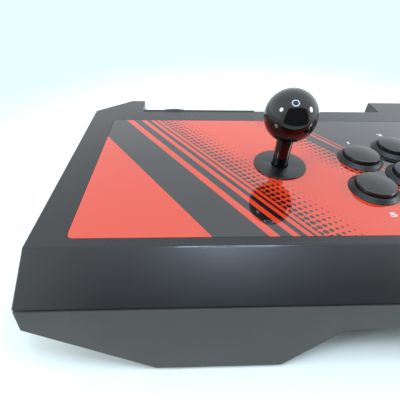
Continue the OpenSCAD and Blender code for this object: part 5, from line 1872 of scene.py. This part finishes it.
@dataclass
class Studio:
    """Pale floor in a light tent that is open behind the camera, with a ring lamp above it."""

    RING = "ring_lamp"
    SQUARE = [(0, 1, 2, 3)]

    camera_at: Place = (-128.14, -184.67, 191.81)
    pitch: float = 40.44
    yaw: float = 3.07
    roll: float = -1.74
    focal: float = 297.81
    picture: float = 400.0  # width in pixels, which the focal length is counted in
    sensor: float = 36.0
    clip: Point = (0.01, 50.0)
    floor_half: float = 6000.0
    walls: float = 1.45
    roof: float = 1.75
    roof_rise: Point = (0.6, 1.0)  # upward share of the direction where it starts and ends to rise
    sides: float = 0.35
    sides_rise: Point = (0.4, 0.95)  # sideways share
    dim: float = 0.4
    dim_rise: Point = (0.2, 0.8)  # share towards the front
    dim_top: Point = (0.3, 0.6)  # upward share where the dimming ends
    cloth: Colour = (0.94, 1.0, 1.05)
    glows: tuple[Glow, ...] = (Glow((-0.811, -0.231, 0.537)), Glow((0.914, -0.119, 0.387)))
    opening: tuple[Place, ...] = (
        (-483.0, -472.0, 0.0), (429.0, -308.0, 0.0), (429.0, -308.0, 570.0), (-483.0, -472.0, 820.0),
    )
    opening_cloth: SoftRubber = SoftRubber((0.10, 0.095, 0.095), 0.9)
    ring_at: Place = (-38.7, -123.9, 572.1)
    ring_faces: Place = (0.045, -0.254, 0.966)
    ring_r: Point = (91.5, 120.5)  # inner and outer radius
    ring_steps: int = 64
    ring_lamp: LampFace = LampFace((0.70, 0.92, 1.22), 27.0)

    def build(self) -> None:
        """Sets up the camera, the light and the floor."""
        scene = bpy.context.scene
        scene.view_settings.view_transform = "Standard"
        self.camera(scene)
        self.surroundings(scene)
        half, count = self.floor_half, self.ring_steps
        corners = ((-half, -half, 0.0), (half, -half, 0.0), (half, half, 0.0), (-half, half, 0.0))
        self.sheet("floor", corners, self.SQUARE, PaleTable().make("pale_table"))
        circles = [spot for radius in self.ring_r for spot in self.circle(radius)]
        around = [(i, i + count, (i + 1) % count + count, (i + 1) % count) for i in range(count)]
        for unseen in (
            self.sheet("tent_opening", self.opening, self.SQUARE, self.opening_cloth.make("opening_cloth")),
            self.sheet(self.RING, circles, around, self.ring_lamp.make(self.RING)),
        ):
            unseen.visible_camera = False

    def spare(self, piece: bpy.types.Object) -> None:
        """Keeps the ring lamp's light off a piece, so that the piece doesn't mirror it.

        Args:
            piece: the piece.
        """
        lit = bpy.data.collections.new("lit_by_ring")
        lit.objects.link(piece)
        lit.collection_objects[0].light_linking.link_state = "EXCLUDE"
        bpy.data.objects[self.RING].light_linking.receiver_collection = lit

    def circle(self, radius: float) -> list[Vector]:
        """Points round the ring lamp's axis.

        Args:
            radius: how far from it they lie.

        Returns:
            The points, in millimetres.
        """
        axis = Vector(self.ring_faces)
        out = axis.orthogonal().normalized() * radius
        turns = (Matrix.Rotation(2 * math.pi * k / self.ring_steps, 3, axis) for k in range(self.ring_steps))
        return [Vector(self.ring_at) + turn @ out for turn in turns]

    def camera(self, scene: bpy.types.Scene) -> None:
        """Places the camera.

        Args:
            scene: the scene it looks at.
        """
        pitch, yaw, roll = (math.radians(v) for v in (self.pitch, self.yaw, self.roll))
        ahead = Vector((math.sin(yaw) * math.cos(pitch), math.cos(yaw) * math.cos(pitch), -math.sin(pitch)))
        right = Vector((math.cos(yaw), -math.sin(yaw), 0.0))
        down = ahead.cross(right)
        across = math.cos(roll) * right + math.sin(roll) * down
        below = -math.sin(roll) * right + math.cos(roll) * down
        lens = bpy.data.cameras.new("photo_camera")
        lens.sensor_width = self.sensor
        lens.lens = self.focal * self.sensor / self.picture
        lens.clip_start, lens.clip_end = self.clip
        camera = bpy.data.objects.new("photo_camera", lens)
        turn = Matrix((across, -below, -ahead)).transposed().to_4x4()
        camera.matrix_world = Matrix.Translation(Vector(self.camera_at) * MM) @ turn
        scene.collection.objects.link(camera)
        scene.camera = camera

    def surroundings(self, scene: bpy.types.Scene) -> None:
        """Lights the scene from a bright tent with a lamp outside each side.

        Args:
            scene: the scene.
        """
        world = bpy.data.worlds.new("light_tent")
        world.use_nodes = True
        scene.world = world
        recipe = Recipe(world.node_tree, "Generated")
        x, y, z = recipe.numbers(1.0)
        level = self.walls + (self.roof - self.walls) * z.rise(*self.roof_rise)
        level = level + self.sides * abs(x).rise(*self.sides_rise)
        level = level * (1 - self.dim * (0 - y).rise(*self.dim_rise) * (1 - z.rise(*self.dim_top)))
        for glow in self.glows:
            share = 1 - recipe.angle(glow.towards).rise(*glow.fall)
            level = level + (glow.level - level) * share
        back = recipe.node("ShaderNodeBackground", {}, {"Color": (*self.cloth, 1.0), "Strength": level})
        recipe.node("ShaderNodeOutputWorld", {}, {"Surface": back.outputs["Background"]})

    @staticmethod
    def sheet(
        name: str, corners: Sequence[Place], faces: Sequence[tuple[int, ...]], material: bpy.types.Material
    ) -> bpy.types.Object:
        """Puts up a flat sheet of the studio.

        Args:
            name: its name.
            corners: its corners, in millimetres.
            faces: which corners each face joins.
            material: its material.

        Returns:
            The sheet.
        """
        mesh = bpy.data.meshes.new(name)
        mesh.from_pydata([Vector(corner) * MM for corner in corners], [], faces)
        mesh.materials.append(material)
        sheet = bpy.data.objects.new(name, mesh)
        bpy.context.scene.collection.objects.link(sheet)
        return sheet


def main() -> None:
    """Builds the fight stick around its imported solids."""
    logging.basicConfig(level=logging.INFO, format="%(message)s")
    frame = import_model()
    shop = Workshop(frame)
    studio = Studio()
    studio.build()
    Case(shop).build()
    studio.spare(PlayPanel(shop).build())
    for assembly in (ButtonSet, Lever, ControlStrip, CableStore, Electronics):
        assembly(shop).build()
    bpy.context.view_layer.update()


if __name__ == "__main__":
    main()
